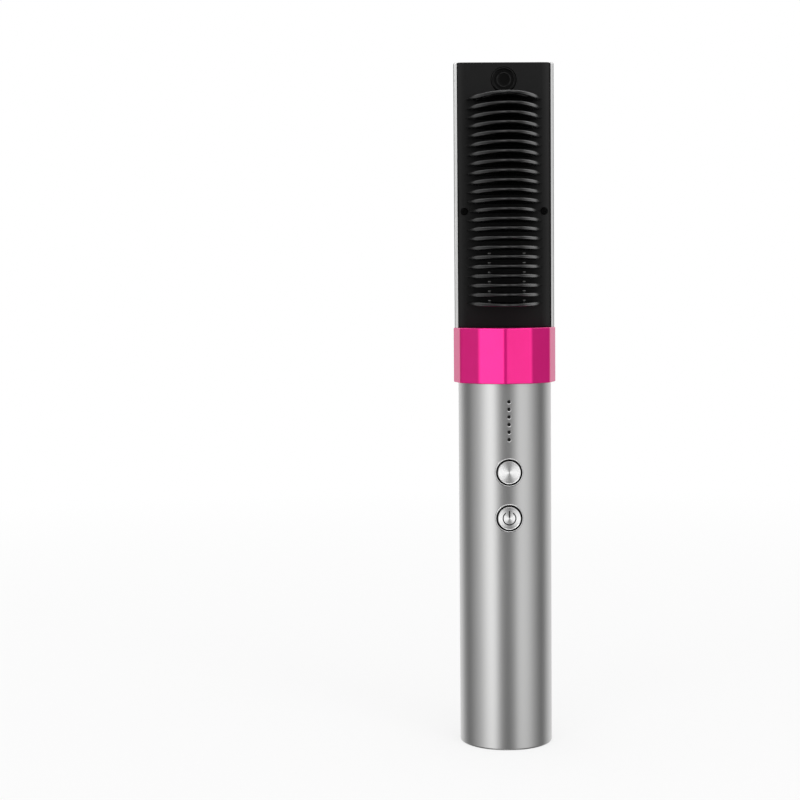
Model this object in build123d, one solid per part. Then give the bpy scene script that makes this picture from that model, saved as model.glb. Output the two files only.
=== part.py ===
from build123d import *
import os
from math import sqrt, tan, radians

# Cordless hot comb. Millimetres. The origin is the centre of the foot, on the handle's axis.
# +Z runs up to the head, -Y is the front with the buttons and the comb rows, +X is to the right.

# Fits that many pieces share
slip = 0.1  # side play between parts that go together by hand
stop_gap = 0.05  # between faces that stop each other
bolt_play = 0.05  # round a screw's shank
cut_past = 1.0  # how far a cutter reaches past the face it opens

# Handle tube
handle_r = 19.0
handle_wall = 1.2
handle_length = 159.2
foot_round = 0.8
foot_lip = 2.0
foot_ledge = 2.6  # how far the turned-in foot reaches inwards from the bore
spigot_step = 0.15  # the tube is turned down by this where the collar ring slides on
bore_r = handle_r - handle_wall
foot_opening_r = bore_r - foot_ledge
spigot_r = handle_r - spigot_step

# Collar ring, twelve-sided
ring_stand = 2.0  # how far its corners stand out from the tube
ring_sides = 12
ring_turn = -4.2  # degrees by which one corner is off the front, towards -X
ring_height = 22.4
ring_web = 2.0
ring_edge = 0.4
ring_cover = 10.0  # how much of the tube the ring covers
ring_r = handle_r + ring_stand
ring_z0 = handle_length - ring_cover
ring_z1 = ring_z0 + ring_height
web_z0 = ring_z1 - ring_web

# Head shell: straight cheeks in front, half an ellipse behind
head_stand = 1.45  # wider than the tube by this on each side
head_back = 1.4  # and stands out behind by this
head_wall = 1.25
head_height = 107.7
head_top_round = 0.8
cheek_round = 0.5
rim_y = -2.0  # front of the shell's two rims
head_half = handle_r + head_stand
head_depth = handle_r + head_back
head_z0 = ring_z1
head_z1 = head_z0 + head_height
cave_half = head_half - head_wall
cave_depth = head_depth - head_wall

# Face plate
plate_recess = 0.2
plate_thick = 2.0
plate_corner = 0.8
plate_front = rim_y + plate_recess
plate_back = plate_front + plate_thick
plate_half = cave_half - slip

# Comb rows: a guard arch over a heated fin in each
row_pitch = 3.785
row_top_drop = 14.9  # from the head's top to the first row
row_bottom_room = 9.0  # kept free under the last row
row_reach = 24.5  # from the plate to the arch's crown
end_flare = 1.2  # the first and last arch lean outwards by this many degrees
arch_margin = 3.5  # from the plate's side edge to an arch
arch_leg = 2.4
arch_crown = 3.2
arch_root_thick = 2.3
arch_tip_thick = 1.1
arch_point_thick = 0.5  # at the sharp outer ends of the legs
arch_point_run = 2.9  # over this much of the width the ends come to a point
peg_inset = 1.0
peg_wide = 1.3
peg_thick = 1.1
peg_deep = 1.2
fin_inset = 3.2  # from an arch's end to its fin's
fin_tab_inset = 1.8  # from a fin's end to the tab that goes down through the plate
fin_stand = 0.2  # of the fin's shoulders over the plate
fin_root_thick = 1.4
fin_tip_thick = 0.7
fin_gap = 0.3  # between the fin's crown and the arch over it
slot_play = 0.15
arch_half = plate_half - arch_margin
fin_tab_half = arch_half - fin_inset - fin_tab_inset
row_tip_y = plate_front - row_reach
row_count = int((head_height - row_top_drop - row_bottom_room) / row_pitch) + 1
row_z = [head_z1 - row_top_drop - row_pitch * k for k in range(row_count)]

# Screws
screw_r = 0.95
screw_head_r = 1.45
screw_head = 0.9
cross_wide = 0.45
cross_span = 2.0
cross_deep = 0.5
post_r = 2.4

# Face screws, beside one row that is narrower to leave them room
screw_row = row_count // 2 + 1
narrow_inset = 1.4
face_screw_margin = 2.8  # from the plate's side edge
narrow_half = arch_half - narrow_inset
face_screw_x = plate_half - face_screw_margin
face_screw_z = row_z[screw_row]
face_bore_r = screw_head_r + bolt_play
face_bore_depth = 1.4
face_screw_length = 7.0

# Badge disc over the top screw
badge_r = 5.2
badge_drop = 6.6
badge_thick = 1.1
badge_proud = 0.2
badge_rim = 0.7
badge_dish = 0.3
badge_z = head_z1 - badge_drop
badge_back = plate_front - badge_proud + badge_thick
badge_head = 0.7
badge_screw_length = 6.0

# Heater stack, from the face plate backwards
heater_margin = 8.1  # from the plate's side edge to the heater base
heater_thick = 3.0
heater_over = 3.0  # beyond the first and the last row
groove_deep = 1.2
groove_play = 0.02
ceramic_inset = 3.0
ceramic_thick = 1.5
ceramic_bottom = 3.4
ceramic_top = 9.0
mica_thick = 0.5
mica_bottom = 7.0
heater_half = plate_half - heater_margin
ceramic_half = heater_half - ceramic_inset
heater_z0 = row_z[-1] - heater_over
heater_z1 = row_z[0] + heater_over
heater_back = plate_back + heater_thick
ceramic_back = heater_back + ceramic_thick
mica_back = ceramic_back + mica_thick
ceramic_z0 = heater_z0 + ceramic_bottom
ceramic_z1 = heater_z1 - ceramic_top

# Clamp straps that hold the stack to the plate
strap_margin = 3.9  # from the plate's side edge to a strap's end
strap_screw_inset = 1.8  # from a strap's end to its screw, and the strap's corner radius
strap_wide = 8.0
strap_thick = 0.8
strap_end_gap = 20.5
strap_post_r = 1.8
strap_screw_length = 4.4
strap_half = plate_half - strap_margin
strap_x = strap_half - strap_screw_inset
strap_z = [heater_z0 + strap_end_gap, heater_z1 - strap_end_gap]

# Temperature sensor and fuse between the straps
probe_r = 0.9
probe_length = 6.0
probe_play = 0.4
fuse_r = 1.9
fuse_neck_r = 0.5
fuse_length = 9.0
fuse_tail = 3.0
sensor_z = (strap_z[0] + strap_z[1]) / 2

# Heat shield, a liner inside the shell
shield_gap = 0.2
shield_thick = 0.8
shield_front = 1.0
shield_low_gap = 0.6
shield_top_gap = 0.8
shield_z0 = heater_z0 + shield_low_gap
shield_z1 = badge_z - post_r - shield_top_gap
shield_hole_play = 0.3

# Neck coupler between tube, ring and head
plug_depth = 12.0
plug_wall = 2.5
tongue_height = 5.6  # above the ring's top
tongue_wall = 2.0
tongue_front_wall = 5.7
coupler_floor = 2.0
coupler_z0 = handle_length - plug_depth
tongue_z1 = ring_z1 + tongue_height
tongue_back = plate_back + slip + tongue_front_wall
plug_r = bore_r - slip
plug_bore_r = plug_r - plug_wall
neck_screw_z = ring_z1 + tongue_height / 2
neck_screw_length = 7.0
neck_head_seat = 2.0  # material under the neck screw's head
coupler_screw_rise = 4.0
coupler_screw_z = ring_z0 + coupler_screw_rise
coupler_head_r = 1.9
coupler_screw_length = 3.6

# End cap and its posts
cap_recess = 0.3
cap_flange = 1.5
cap_post = 4.8
cap_post_r = 2.6
cap_screw_x = 9.2
cap_screw_length = 10.5
cap_z1 = foot_lip + cap_flange

# Charging socket
port_half_wide = 4.47
port_half_high = 1.63
port_wall = 0.3
port_length = 7.2
port_play = 0.15
tongue_half_wide = 3.35
port_tongue_thick = 0.7
port_tongue_length = 5.0
board_thick = 1.2
usb_board_half = 12.2
usb_board_back = 6.0
usb_board_front = 11.5
usb_z0 = cap_z1 + cap_post
usb_z1 = usb_z0 + board_thick

# Inner frame that carries the cell and the main board
frame_play = 0.2
frame_front = 9.4
frame_floor = 4.0
frame_head = 3.8
frame_edge = 0.8
cradle_wall = 1.6
cell_r = 10.5
cell_length = 70.0
cell_nub_r = 4.0
cell_nub = 0.8
cell_groove = 0.4
cell_groove_drop = 5.0
cell_back_room = 2.0
cell_play = 0.2
tab_thick = 0.2
tab_wide = 6.0
tab_past_axis = 3.0
tab_room = 0.8  # height of the slot that the lower tab runs out through
bulkhead_thick = 3.0
frame_r = bore_r - frame_play
frame_z0 = usb_z1
frame_z1 = coupler_z0 - frame_play
cell_y = bore_r - cell_r - cell_back_room
bay_r = cell_r + cell_play
tab_z0 = frame_z0 + frame_floor
cell_z0 = tab_z0 + tab_thick
cell_z1 = cell_z0 + cell_length
top_tab_z0 = cell_z1 + cell_nub
bay_z1 = top_tab_z0 + tab_thick + cell_play

# Main board
board_half = 11.0
board_z0 = 62.0
board_top_gap = 1.3
board_screw_x = 8.6
board_screw_inset = 3.6
board_screw_length = 3.4
board_z1 = frame_z1 - board_top_gap
board_front = -frame_front - board_thick

# Indicator dots
dot_count = 6
dot_pitch = 3.06
dot_r = 0.65
dot_play = 0.05
dot_recess = 0.05
dot_below_ring = 22.5  # the lowest dot, under the ring's lower edge
chip_wide = 1.6
chip_tall = 0.8
chip_thick = 0.6
chip_gap = 0.3
pipe_half = 1.7
pipe_thick = 2.0
pipe_leg_r = 0.8
pipe_leg_out = 2.0
pipe_end = 0.3  # of the bar past each leg
dot_z = [ring_z0 - dot_below_ring + dot_pitch * k for k in range(dot_count)]

# Buttons
button_below_dots = 13.2
button_pitch = 18.5
button_r = 4.8
button_proud = 0.35
button_edge = 0.2
button_travel = 0.5
button_flange = 0.65
button_flange_over = 0.65
cup_r = 2.3
cup_deep = 0.7
bezel_r = 5.75
bezel_inner_r = 5.25
bezel_proud = 0.15
bezel_edge = 0.12
bezel_flange_r = 6.8
bezel_flange = 0.8
power_mark_r = 2.8
power_mark_wide = 0.45
power_mark_deep = 0.15
power_mark_gap = 70.0  # degrees left open at the top of the mark's ring
temperature_z = dot_z[0] - button_below_dots
power_z = temperature_z - button_pitch
bezel_seat = -(sqrt(bore_r**2 - bezel_flange_r**2) - stop_gap)
bezel_back = bezel_seat + bezel_flange
button_front = -handle_r - button_proud
button_seat = bezel_back + stop_gap
button_back = button_seat + button_flange
cup_floor = button_back - cup_deep

# Switches under the buttons
switch_half = 3.1
switch_gap = 0.3  # left under a button pressed fully in
plunger_r = 1.75
plunger_play = 0.1
plunger_spare = 0.3
switch_floor = 0.7
switch_front = button_back + button_travel + switch_gap
plunger_floor = board_front - switch_floor
plunger_back = plunger_floor - button_travel - plunger_spare

# Leads
heater_lead_r = 0.8
heater_lead_x = 5.0
thin_lead_r = 0.6
charge_lead_x = 4.6
lead_rest = 0.02  # between a lead and the face it lies along
lead_bend = 0.45  # of the shorter run beside a corner
heater_joint = 3.5  # length soldered to the main board
heater_tail = 6.0  # length that lies on the ceramic heater
heater_turn = 1.8  # clear of the coupler's floor and of its tongue, before each turn
joint_length = 3.0  # of a thin lead on the main board
joint_step = 6.0  # over which a thin lead comes forward onto the board


def block(x0, x1, y0, y1, z0, z1):
    """A box between two corners."""
    return Pos((x0 + x1) / 2, (y0 + y1) / 2, (z0 + z1) / 2) * Box(x1 - x0, y1 - y0, z1 - z0)


def rod(radius, y0, y1, x=0.0, z=0.0):
    """A round bar along Y, from y0 back to y1."""
    bar = Cylinder(radius, y1 - y0, align=(Align.CENTER, Align.CENTER, Align.MIN))
    return Pos(x, y0, z) * Rot(-90, 0, 0) * bar


def post(radius, z0, z1, x=0.0, y=0.0):
    """A round bar along Z, from z0 up to z1."""
    return Pos(x, y, z0) * Cylinder(radius, z1 - z0, align=(Align.CENTER, Align.CENTER, Align.MIN))


def upright(sketch, z0, z1):
    """A plan section raised from z0 to z1."""
    return Pos(0, 0, z0) * extrude(sketch, z1 - z0)


def turned_y(points, z):
    """A profile of (radius, y) points, turned about the line along Y at height z."""
    return Pos(0, 0, z) * revolve(make_face(Polyline(*points, close=True)), Axis.Y)


def turned_z(points):
    """A profile of (radius, z) points, turned about the handle's axis."""
    return revolve(Plane.XZ * make_face(Polyline(*points, close=True)), Axis.Z)


def group(pieces):
    """Several separate solids as one node."""
    return Compound([solid for piece in pieces for solid in piece.solids()])


def head_section(half, depth, front):
    """Plan section of the head: cheeks from front to the axis, then half an ellipse to the back."""
    back = Ellipse(half, depth) & (Pos(0, depth) * Rectangle(4 * half, 2 * depth))
    if front < 0:
        return back + Pos(0, front / 2) * Rectangle(2 * half, -front)
    return back - Pos(0, front / 2) * Rectangle(4 * half, front)


def cross_recess(y_face, x=0.0, z=0.0):
    """Cutter for a cross drive in a screw head that faces the front."""
    bar = Box(cross_span, 2 * cross_deep, cross_wide) + Box(cross_wide, 2 * cross_deep, cross_span)
    return Pos(x, y_face, z) * bar


def front_screw(y_head, head_thick, length, x=0.0, z=0.0):
    """A screw driven from the front: pan head, plain shank."""
    head = rod(screw_head_r, y_head, y_head + head_thick, x, z) - cross_recess(y_head, x, z)
    return head + rod(screw_r, y_head + head_thick, y_head + head_thick + length, x, z)


def back_screw(y_seat, length, x, z):
    """A screw driven from behind, with its head on y_seat."""
    head = rod(screw_head_r, y_seat, y_seat + screw_head, x, z)
    head -= cross_recess(y_seat + screw_head, x, z)
    return head + rod(screw_r, y_seat - length, y_seat, x, z)


# Handle


def handle_tube():
    tube = turned_z(
        [
            (foot_opening_r, 0),
            (handle_r, 0),
            (handle_r, ring_z0),
            (spigot_r, ring_z0),
            (spigot_r, handle_length),
            (bore_r, handle_length),
            (bore_r, foot_lip),
            (foot_opening_r, foot_lip),
        ]
    )
    outer_foot = tube.edges().filter_by(GeomType.CIRCLE).group_by(Axis.Z)[0].sort_by(SortBy.RADIUS)[-1]
    tube = fillet(outer_foot, foot_round)
    for z in (temperature_z, power_z):
        tube -= rod(bezel_r + stop_gap, -handle_r - cut_past, 0, 0, z)
    for z in dot_z:
        tube -= rod(dot_r, -handle_r - cut_past, 0, 0, z)
    for side in (-1, 1):
        tube -= coupler_screw_hole(side)
    return tube


def coupler_screw_hole(side):
    """Countersunk hole through the tube and a straight one in the coupler, for one side."""
    wide = coupler_head_r + bolt_play
    narrow = screw_r + bolt_play
    from_top = (Align.CENTER, Align.CENTER, Align.MAX)
    sink = Cone(narrow, wide, handle_wall, align=from_top)
    shaft = Cylinder(narrow, handle_r, align=from_top)
    outside = Cylinder(wide, handle_wall, align=(Align.CENTER, Align.CENTER, Align.MIN))
    return Pos(side * handle_r, 0, coupler_screw_z) * Rot(0, side * 90, 0) * (sink + shaft + outside)


def coupler_screws():
    """Countersunk screws through the tube's wall into the coupler, hidden by the ring."""
    crest = sqrt(spigot_r**2 - coupler_head_r**2)
    head_deep = crest - bore_r
    top_r = screw_r + (coupler_head_r - screw_r) * head_deep / handle_wall
    from_top = (Align.CENTER, Align.CENTER, Align.MAX)
    head = Cone(screw_r, top_r, head_deep, align=from_top)
    shank = Cylinder(screw_r, coupler_screw_length, align=from_top)
    slot = Box(cross_wide, 4 * coupler_head_r, cross_deep)
    screw = head + shank - slot
    return group(Pos(side * crest, 0, coupler_screw_z) * Rot(0, side * 90, 0) * screw for side in (-1, 1))


def end_cap():
    """Bottom plug, held behind the tube's turned-in foot, with the charging opening and two posts."""
    cap = post(foot_opening_r - slip, cap_recess, foot_lip)
    cap += post(bore_r - slip, foot_lip, cap_z1)
    for side in (-1, 1):
        cap += post(cap_post_r, cap_z1, usb_z0, side * cap_screw_x)
    for side in (-1, 1):
        cap -= post(screw_r + bolt_play, 0, usb_z0, side * cap_screw_x)
        cap -= post(screw_head_r + bolt_play, 0, cap_recess + 2 * screw_head, side * cap_screw_x)
    return cap - upright(port_outline(port_play), 0, cap_z1)


def port_outline(grow):
    """Rounded outline of the charging socket, larger by grow on every side."""
    high = port_half_high + grow
    return SlotOverall(2 * (port_half_wide + grow), 2 * high)


def end_cap_screws():
    """Two screws from below, through cap, posts and socket board, into the inner frame."""
    seat = cap_recess + 2 * screw_head
    screws = []
    for side in (-1, 1):
        screw = post(screw_head_r, seat - screw_head, seat, side * cap_screw_x)
        screw += post(screw_r, seat, seat + cap_screw_length, side * cap_screw_x)
        drive = Box(cross_span, cross_wide, 2 * cross_deep) + Box(cross_wide, cross_span, 2 * cross_deep)
        screws.append(screw - Pos(side * cap_screw_x, 0, seat - screw_head) * drive)
    return group(screws)


def usb_socket_shell():
    z0 = usb_z0 - port_length
    return upright(port_outline(0) - port_outline(-port_wall), z0, usb_z0)


def usb_socket_tongue():
    half = port_tongue_thick / 2
    return block(-tongue_half_wide, tongue_half_wide, -half, half, usb_z0 - port_tongue_length, usb_z0)


def usb_board():
    board = block(-usb_board_half, usb_board_half, -usb_board_front, usb_board_back, usb_z0, usb_z1)
    board = chamfer(board.edges().filter_by(Axis.Z), board_thick)
    for side in (-1, 1):
        board -= post(screw_r + bolt_play, usb_z0, usb_z1, side * cap_screw_x)
    return board


# Inside the handle


def frame_disc(z0, z1):
    """A bulkhead of the inner frame, flat in front where the main board lies."""
    disc = post(frame_r, z0, z1)
    return disc - block(-frame_r, frame_r, -frame_r, -frame_front, z0, z1)


def inner_frame():
    front_half = sqrt(frame_r**2 - frame_front**2) - frame_edge
    bay_front = cell_y - bay_r
    frame = frame_disc(frame_z0, tab_z0)
    frame += frame_disc(bay_z1, bay_z1 + bulkhead_thick)
    frame += frame_disc(frame_z1 - frame_head, frame_z1)
    web_back = bay_front + cradle_wall
    frame += block(-front_half, front_half, -frame_front, web_back, frame_z0, frame_z1)
    frame += post(bay_r + cradle_wall, tab_z0, bay_z1, 0, cell_y)
    frame -= post(bay_r, tab_z0, bay_z1, 0, cell_y)
    frame -= block(-bay_r, bay_r, cell_y, 2 * frame_r, tab_z0, bay_z1)
    wire_room = tab_wide / 2 + 2 * slip
    frame -= block(-wire_room, wire_room, -frame_r, cell_y, tab_z0, tab_z0 + tab_room)
    frame -= block(-wire_room, wire_room, -frame_r, cell_y, top_tab_z0 - cell_play, bay_z1)
    for side in (-1, 1):
        depth = cap_screw_length - cap_post - board_thick
        frame -= post(screw_r + bolt_play, frame_z0, frame_z0 + depth, side * cap_screw_x)
    for x, z in board_screw_places():
        frame -= rod(screw_r + bolt_play, -frame_front, -frame_front + board_screw_length, x, z)
    return frame


def battery_cell():
    groove_z = cell_z1 - cell_groove_drop
    return Pos(0, cell_y, 0) * turned_z(
        [
            (0, cell_z0),
            (cell_r, cell_z0),
            (cell_r, groove_z - cell_groove),
            (cell_r - cell_groove, groove_z),
            (cell_r, groove_z + cell_groove),
            (cell_r, cell_z1),
            (cell_nub_r, cell_z1),
            (cell_nub_r, cell_z1 + cell_nub),
            (0, cell_z1 + cell_nub),
        ]
    )


def battery_tabs():
    """Two nickel strips: the lower runs out in front for its lead, the upper to the board's back."""
    half = tab_wide / 2
    back = cell_y + tab_past_axis
    lower = block(-half, half, board_front, back, tab_z0, tab_z0 + tab_thick)
    upper = block(-half, half, -frame_front, back, top_tab_z0, top_tab_z0 + tab_thick)
    return group([lower, upper])


def board_screw_places():
    return [
        (side * board_screw_x, z)
        for side in (-1, 1)
        for z in (board_z0 + board_screw_inset, board_z1 - board_screw_inset)
    ]


def main_board():
    board = block(-board_half, board_half, board_front, -frame_front, board_z0, board_z1)
    board = chamfer(board.edges().filter_by(Axis.Y), board_thick)
    for x, z in board_screw_places():
        board -= rod(screw_r + bolt_play, board_front, -frame_front, x, z)
    return board


def board_screws():
    return group(
        front_screw(board_front - screw_head, screw_head, board_screw_length, x, z)
        for x, z in board_screw_places()
    )


def led_chips():
    return group(
        block(
            -chip_wide / 2,
            chip_wide / 2,
            board_front - chip_thick,
            board_front,
            z - chip_tall / 2,
            z + chip_tall / 2,
        )
        for z in dot_z
    )


def light_pipe():
    """Smoked bar behind the tube's wall with a pin for each dot and two legs down to the board."""
    bar_front = -(sqrt(bore_r**2 - pipe_half**2) - slip)
    bar_back = bar_front + pipe_thick
    low, high = dot_z[0] - pipe_leg_out, dot_z[-1] + pipe_leg_out
    past_leg = pipe_leg_r + pipe_end
    pipe = block(-pipe_half, pipe_half, bar_front, bar_back, low - past_leg, high + past_leg)
    for z in dot_z:
        pipe += rod(dot_r - dot_play, -handle_r + dot_recess, board_front - chip_thick - chip_gap, 0, z)
    for z in (low, high):
        pipe += rod(pipe_leg_r, bar_back, board_front, 0, z)
    return pipe


# Buttons and switches


def button(z):
    return turned_y(
        [
            (0, button_front),
            (button_r - button_edge, button_front),
            (button_r, button_front + button_edge),
            (button_r, button_seat),
            (button_r + button_flange_over, button_seat),
            (button_r + button_flange_over, button_back),
            (cup_r, button_back),
            (cup_r, cup_floor),
            (0, cup_floor),
        ],
        z,
    )


def power_mark():
    """Cutter for the generic standby sign: an open ring with a bar through its gap."""
    inner = power_mark_r - power_mark_wide
    ring = Circle(power_mark_r) - Circle(inner)
    reach = 2 * power_mark_r
    lean = power_mark_gap / 2
    left, right = (Vector(0, reach).rotate(Axis.Z, turn) for turn in (lean, -lean))
    gap = make_face(Polyline((0, 0), left, right, close=True))
    half = power_mark_wide / 2
    bar = Pos(0, (power_mark_r + half) / 2 + half) * Rectangle(power_mark_wide, power_mark_r - half)
    mark = extrude(ring - gap + bar, power_mark_deep)
    return Pos(0, button_front + power_mark_deep, power_z) * Rot(90, 0, 0) * mark


def bezel(z):
    """Thin ring round a button, put in from inside and held by its flange."""
    front = -handle_r - bezel_proud
    return turned_y(
        [
            (bezel_inner_r + bezel_edge, front),
            (bezel_r - bezel_edge, front),
            (bezel_r, front + bezel_edge),
            (bezel_r, bezel_seat),
            (bezel_flange_r, bezel_seat),
            (bezel_flange_r, bezel_back),
            (bezel_inner_r, bezel_back),
            (bezel_inner_r, front + bezel_edge),
        ],
        z,
    )


def switch_body(z):
    low, high = z - switch_half, z + switch_half
    body = block(-switch_half, switch_half, switch_front, board_front, low, high)
    body = chamfer(body.edges().filter_by(Axis.Y), switch_gap)
    return body - rod(plunger_r + plunger_play, switch_front, plunger_floor, 0, z)


def switch_plunger(z):
    return rod(plunger_r, cup_floor, plunger_back, 0, z)


# Collar and neck


def collar_ring():
    ring = upright(RegularPolygon(ring_r, ring_sides, rotation=ring_turn), ring_z0, ring_z1)
    rims = ring.faces().sort_by(Axis.Z)[0].edges() + ring.faces().sort_by(Axis.Z)[-1].edges()
    ring = chamfer(rims, ring_edge)
    ring -= post(spigot_r + stop_gap, ring_z0, web_z0)
    return ring - upright(tongue_section(slip), web_z0, ring_z1)


def tongue_section(grow):
    """Section of the coupler's tongue, which fits the head shell's inside."""
    half = cave_half - slip + grow
    depth = cave_depth - slip + grow
    return head_section(half, depth, plate_back + slip - grow)


def neck_coupler():
    """Plug for the tube, barrel under the ring's web and a tongue for the head shell."""
    body = post(plug_r, coupler_z0, handle_length)
    body += post(spigot_r - stop_gap, handle_length, web_z0)
    body += upright(tongue_section(0), web_z0, tongue_z1)
    body -= post(plug_bore_r, coupler_z0, web_z0 - coupler_floor)
    opening = head_section(cave_half - slip - tongue_wall, cave_depth - slip - tongue_wall, tongue_back)
    body -= upright(opening, coupler_z0, tongue_z1)
    play = post_r + 2 * slip
    body -= block(-play, play, tongue_back, head_depth, neck_screw_z - play, tongue_z1)
    seat = tongue_back - neck_head_seat
    body -= rod(screw_head_r + 2 * bolt_play, 0, seat, 0, neck_screw_z)
    body -= rod(screw_r + bolt_play, seat, tongue_back, 0, neck_screw_z)
    for side in (-1, 1):
        body -= coupler_screw_hole(side)
    return body


def neck_screw():
    seat = tongue_back - neck_head_seat
    return front_screw(seat - screw_head, screw_head, neck_screw_length, 0, neck_screw_z)


# Head


def shell_post(x, z, front, hole):
    """A screw post that stands inside the shell on its back wall."""
    stem = rod(post_r, front, head_depth, x, z) & upright(
        head_section(cave_half + slip, cave_depth + slip, 0), head_z0, head_z1
    )
    return stem, rod(screw_r + bolt_play, front, front + hole, x, z)


def head_shell():
    shell = upright(head_section(head_half, head_depth, rim_y), head_z0, head_z1)
    top = shell.faces().sort_by(Axis.Z)[-1].edges()
    shell = fillet(top, head_top_round)
    front_edges = shell.edges().filter_by(Axis.Z).group_by(Axis.Y)[0]
    shell = fillet(front_edges, cheek_round)
    shell -= upright(head_section(cave_half, cave_depth, rim_y - cut_past), head_z0, head_z1 - head_wall)
    shell -= block(-cave_half, cave_half, rim_y - cut_past, plate_back, head_z0, head_z1)
    posts = [(side * face_screw_x, face_screw_z, plate_back, face_screw_length) for side in (-1, 1)]
    posts.append((0, badge_z, plate_back, badge_screw_length))
    posts.append((0, neck_screw_z, tongue_back, neck_screw_length))
    for x, z, front, hole in posts:
        stem, bore = shell_post(x, z, front, hole)
        shell = shell + stem - bore
    return shell


def row_half(k):
    """Half the width of row k: the one beside the face screws is narrower."""
    return narrow_half if k == screw_row else arch_half


def face_plate():
    outline = Plane.XZ * (Pos(0, (head_z0 + head_z1) / 2) * Rectangle(2 * plate_half, head_height))
    plate = Pos(0, plate_back, 0) * extrude(outline, plate_thick)
    top_corners = plate.edges().filter_by(Axis.Y).group_by(Axis.Z)[-1]
    plate = fillet(top_corners, plate_corner)
    for z in strap_z:
        for side in (-1, 1):
            plate += rod(strap_post_r, plate_back, mica_back, side * strap_x, z)
    cuts = []
    for k, z in enumerate(row_z):
        half, thick = fin_tab_half + slot_play, fin_root_thick / 2 + slot_play
        cuts.append(block(-half, half, plate_front - cut_past, plate_back, z - thick, z + thick))
        for side in (-1, 1):
            cuts.append(peg(row_half(k), side, z, slot_play / 2))
    for z in strap_z:
        for side in (-1, 1):
            hole_front = mica_back - strap_screw_length
            cuts.append(rod(screw_r + bolt_play, hole_front, mica_back, side * strap_x, z))
    for side in (-1, 1):
        cuts.append(rod(screw_r + bolt_play, plate_front, plate_back, side * face_screw_x, face_screw_z))
        bore_floor = plate_front + face_bore_depth
        cuts.append(rod(face_bore_r, plate_front, bore_floor, side * face_screw_x, face_screw_z))
    cuts.append(rod(badge_r + slip, plate_front, badge_back, 0, badge_z))
    cuts.append(rod(screw_head_r + bolt_play, badge_back, badge_back + badge_head, 0, badge_z))
    cuts.append(rod(screw_r + bolt_play, badge_back, plate_back, 0, badge_z))
    return plate - cuts


def row_outline(half, tip_y):
    """Front-to-back outline of a row: a parabola that stands on the plate, with its crown at tip_y."""
    bow = Bezier((-half, plate_front), (0, 2 * tip_y - plate_front), (half, plate_front))
    return make_face(bow + Line((half, plate_front), (-half, plate_front)))


def taper(root_thick, tip_thick, tip_y, half, lean=0.0):
    """Wedge that is thick at the plate and thin at the crown, which may stand higher by lean."""
    root, tip = root_thick / 2, tip_thick / 2
    profile = Polyline(
        (plate_front, -root), (plate_front, root), (tip_y, lean + tip), (tip_y, lean - tip), close=True
    )
    return Pos(-half, 0, 0) * extrude(Plane.YZ * make_face(profile), 2 * half)


def pointed_front(half, lean):
    """Front view of an arch: full thickness in the middle, drawn to points at both ends."""
    point, full = arch_point_thick / 2, arch_root_thick / 2
    inner = half - arch_point_run
    face = make_face(
        Polyline(
            (-half, -point),
            (-inner, -full),
            (inner, -full),
            (half, -point),
            (half, point),
            (inner, full),
            (-inner, full),
            (-half, point),
            close=True,
        )
    )
    way = Vector(0, -row_reach, lean)
    return Pos(0, plate_front, 0) * extrude(Plane.XZ * face, way.length, dir=way.normalized())


def peg(half, side, z, grow):
    """Peg under one leg of an arch, or with grow its pocket in the plate."""
    outer = half - peg_inset + grow
    inner = outer - peg_wide - 2 * grow
    x0, x1 = sorted((side * inner, side * outer))
    thick = peg_thick / 2 + grow
    return block(x0, x1, plate_front, plate_front + peg_deep + grow, z - thick, z + thick)


def guard_arch(k):
    """One plastic hoop that keeps skin off the hot fin; the first and last lean away from the rest."""
    half = row_half(k)
    flare = row_reach * tan(radians(end_flare))
    lean = {0: flare, row_count - 1: -flare}.get(k, 0)
    outer = row_outline(half, row_tip_y)
    window = row_outline(half - arch_leg, row_tip_y + arch_crown)
    arch = Pos(0, 0, -arch_root_thick) * extrude(outer - window, 2 * arch_root_thick)
    arch = arch & taper(arch_root_thick, arch_tip_thick, row_tip_y, half, lean) & pointed_front(half, lean)
    for side in (-1, 1):
        arch += peg(half, side, 0, 0)
    return Pos(0, 0, row_z[k]) * arch


def guard_arches():
    return group(guard_arch(k) for k in range(row_count))


def heat_fin(k):
    """One blade that follows its arch's inside, with a tab bonded into its groove in the heater base."""
    half = row_half(k) - fin_inset
    tip_y = row_tip_y + arch_crown + fin_gap
    root = fin_root_thick / 2
    shoulder_y = plate_front - fin_stand
    blade = Pos(0, 0, -fin_root_thick) * extrude(row_outline(half, tip_y), 2 * fin_root_thick)
    blade = blade & taper(fin_root_thick, fin_tip_thick, tip_y, half)
    blade -= block(-half, half, shoulder_y, plate_back, -fin_root_thick, fin_root_thick)
    blade += block(-fin_tab_half, fin_tab_half, shoulder_y - slip, plate_back + groove_deep, -root, root)
    return Pos(0, 0, row_z[k]) * blade


def heat_fins():
    return group(heat_fin(k) for k in range(row_count))


def heater_base():
    base = block(-heater_half, heater_half, plate_back, heater_back, heater_z0, heater_z1)
    root = fin_root_thick / 2 + groove_play
    floor = plate_back + groove_deep + groove_play
    return base - [block(-heater_half, heater_half, plate_back, floor, z - root, z + root) for z in row_z]


def ceramic_heater():
    return block(-ceramic_half, ceramic_half, heater_back, ceramic_back, ceramic_z0, ceramic_z1)


def heater_insulator():
    return block(-ceramic_half, ceramic_half, ceramic_back, mica_back, ceramic_z0 + mica_bottom, ceramic_z1)


def heater_clamps():
    straps = []
    for z in strap_z:
        low, high = z - strap_wide / 2, z + strap_wide / 2
        strap = block(-strap_half, strap_half, mica_back, mica_back + strap_thick, low, high)
        strap = fillet(strap.edges().filter_by(Axis.Y), strap_half - strap_x)
        for side in (-1, 1):
            strap -= rod(screw_r + bolt_play, mica_back, mica_back + strap_thick, side * strap_x, z)
        straps.append(strap)
    return group(straps)


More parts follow.
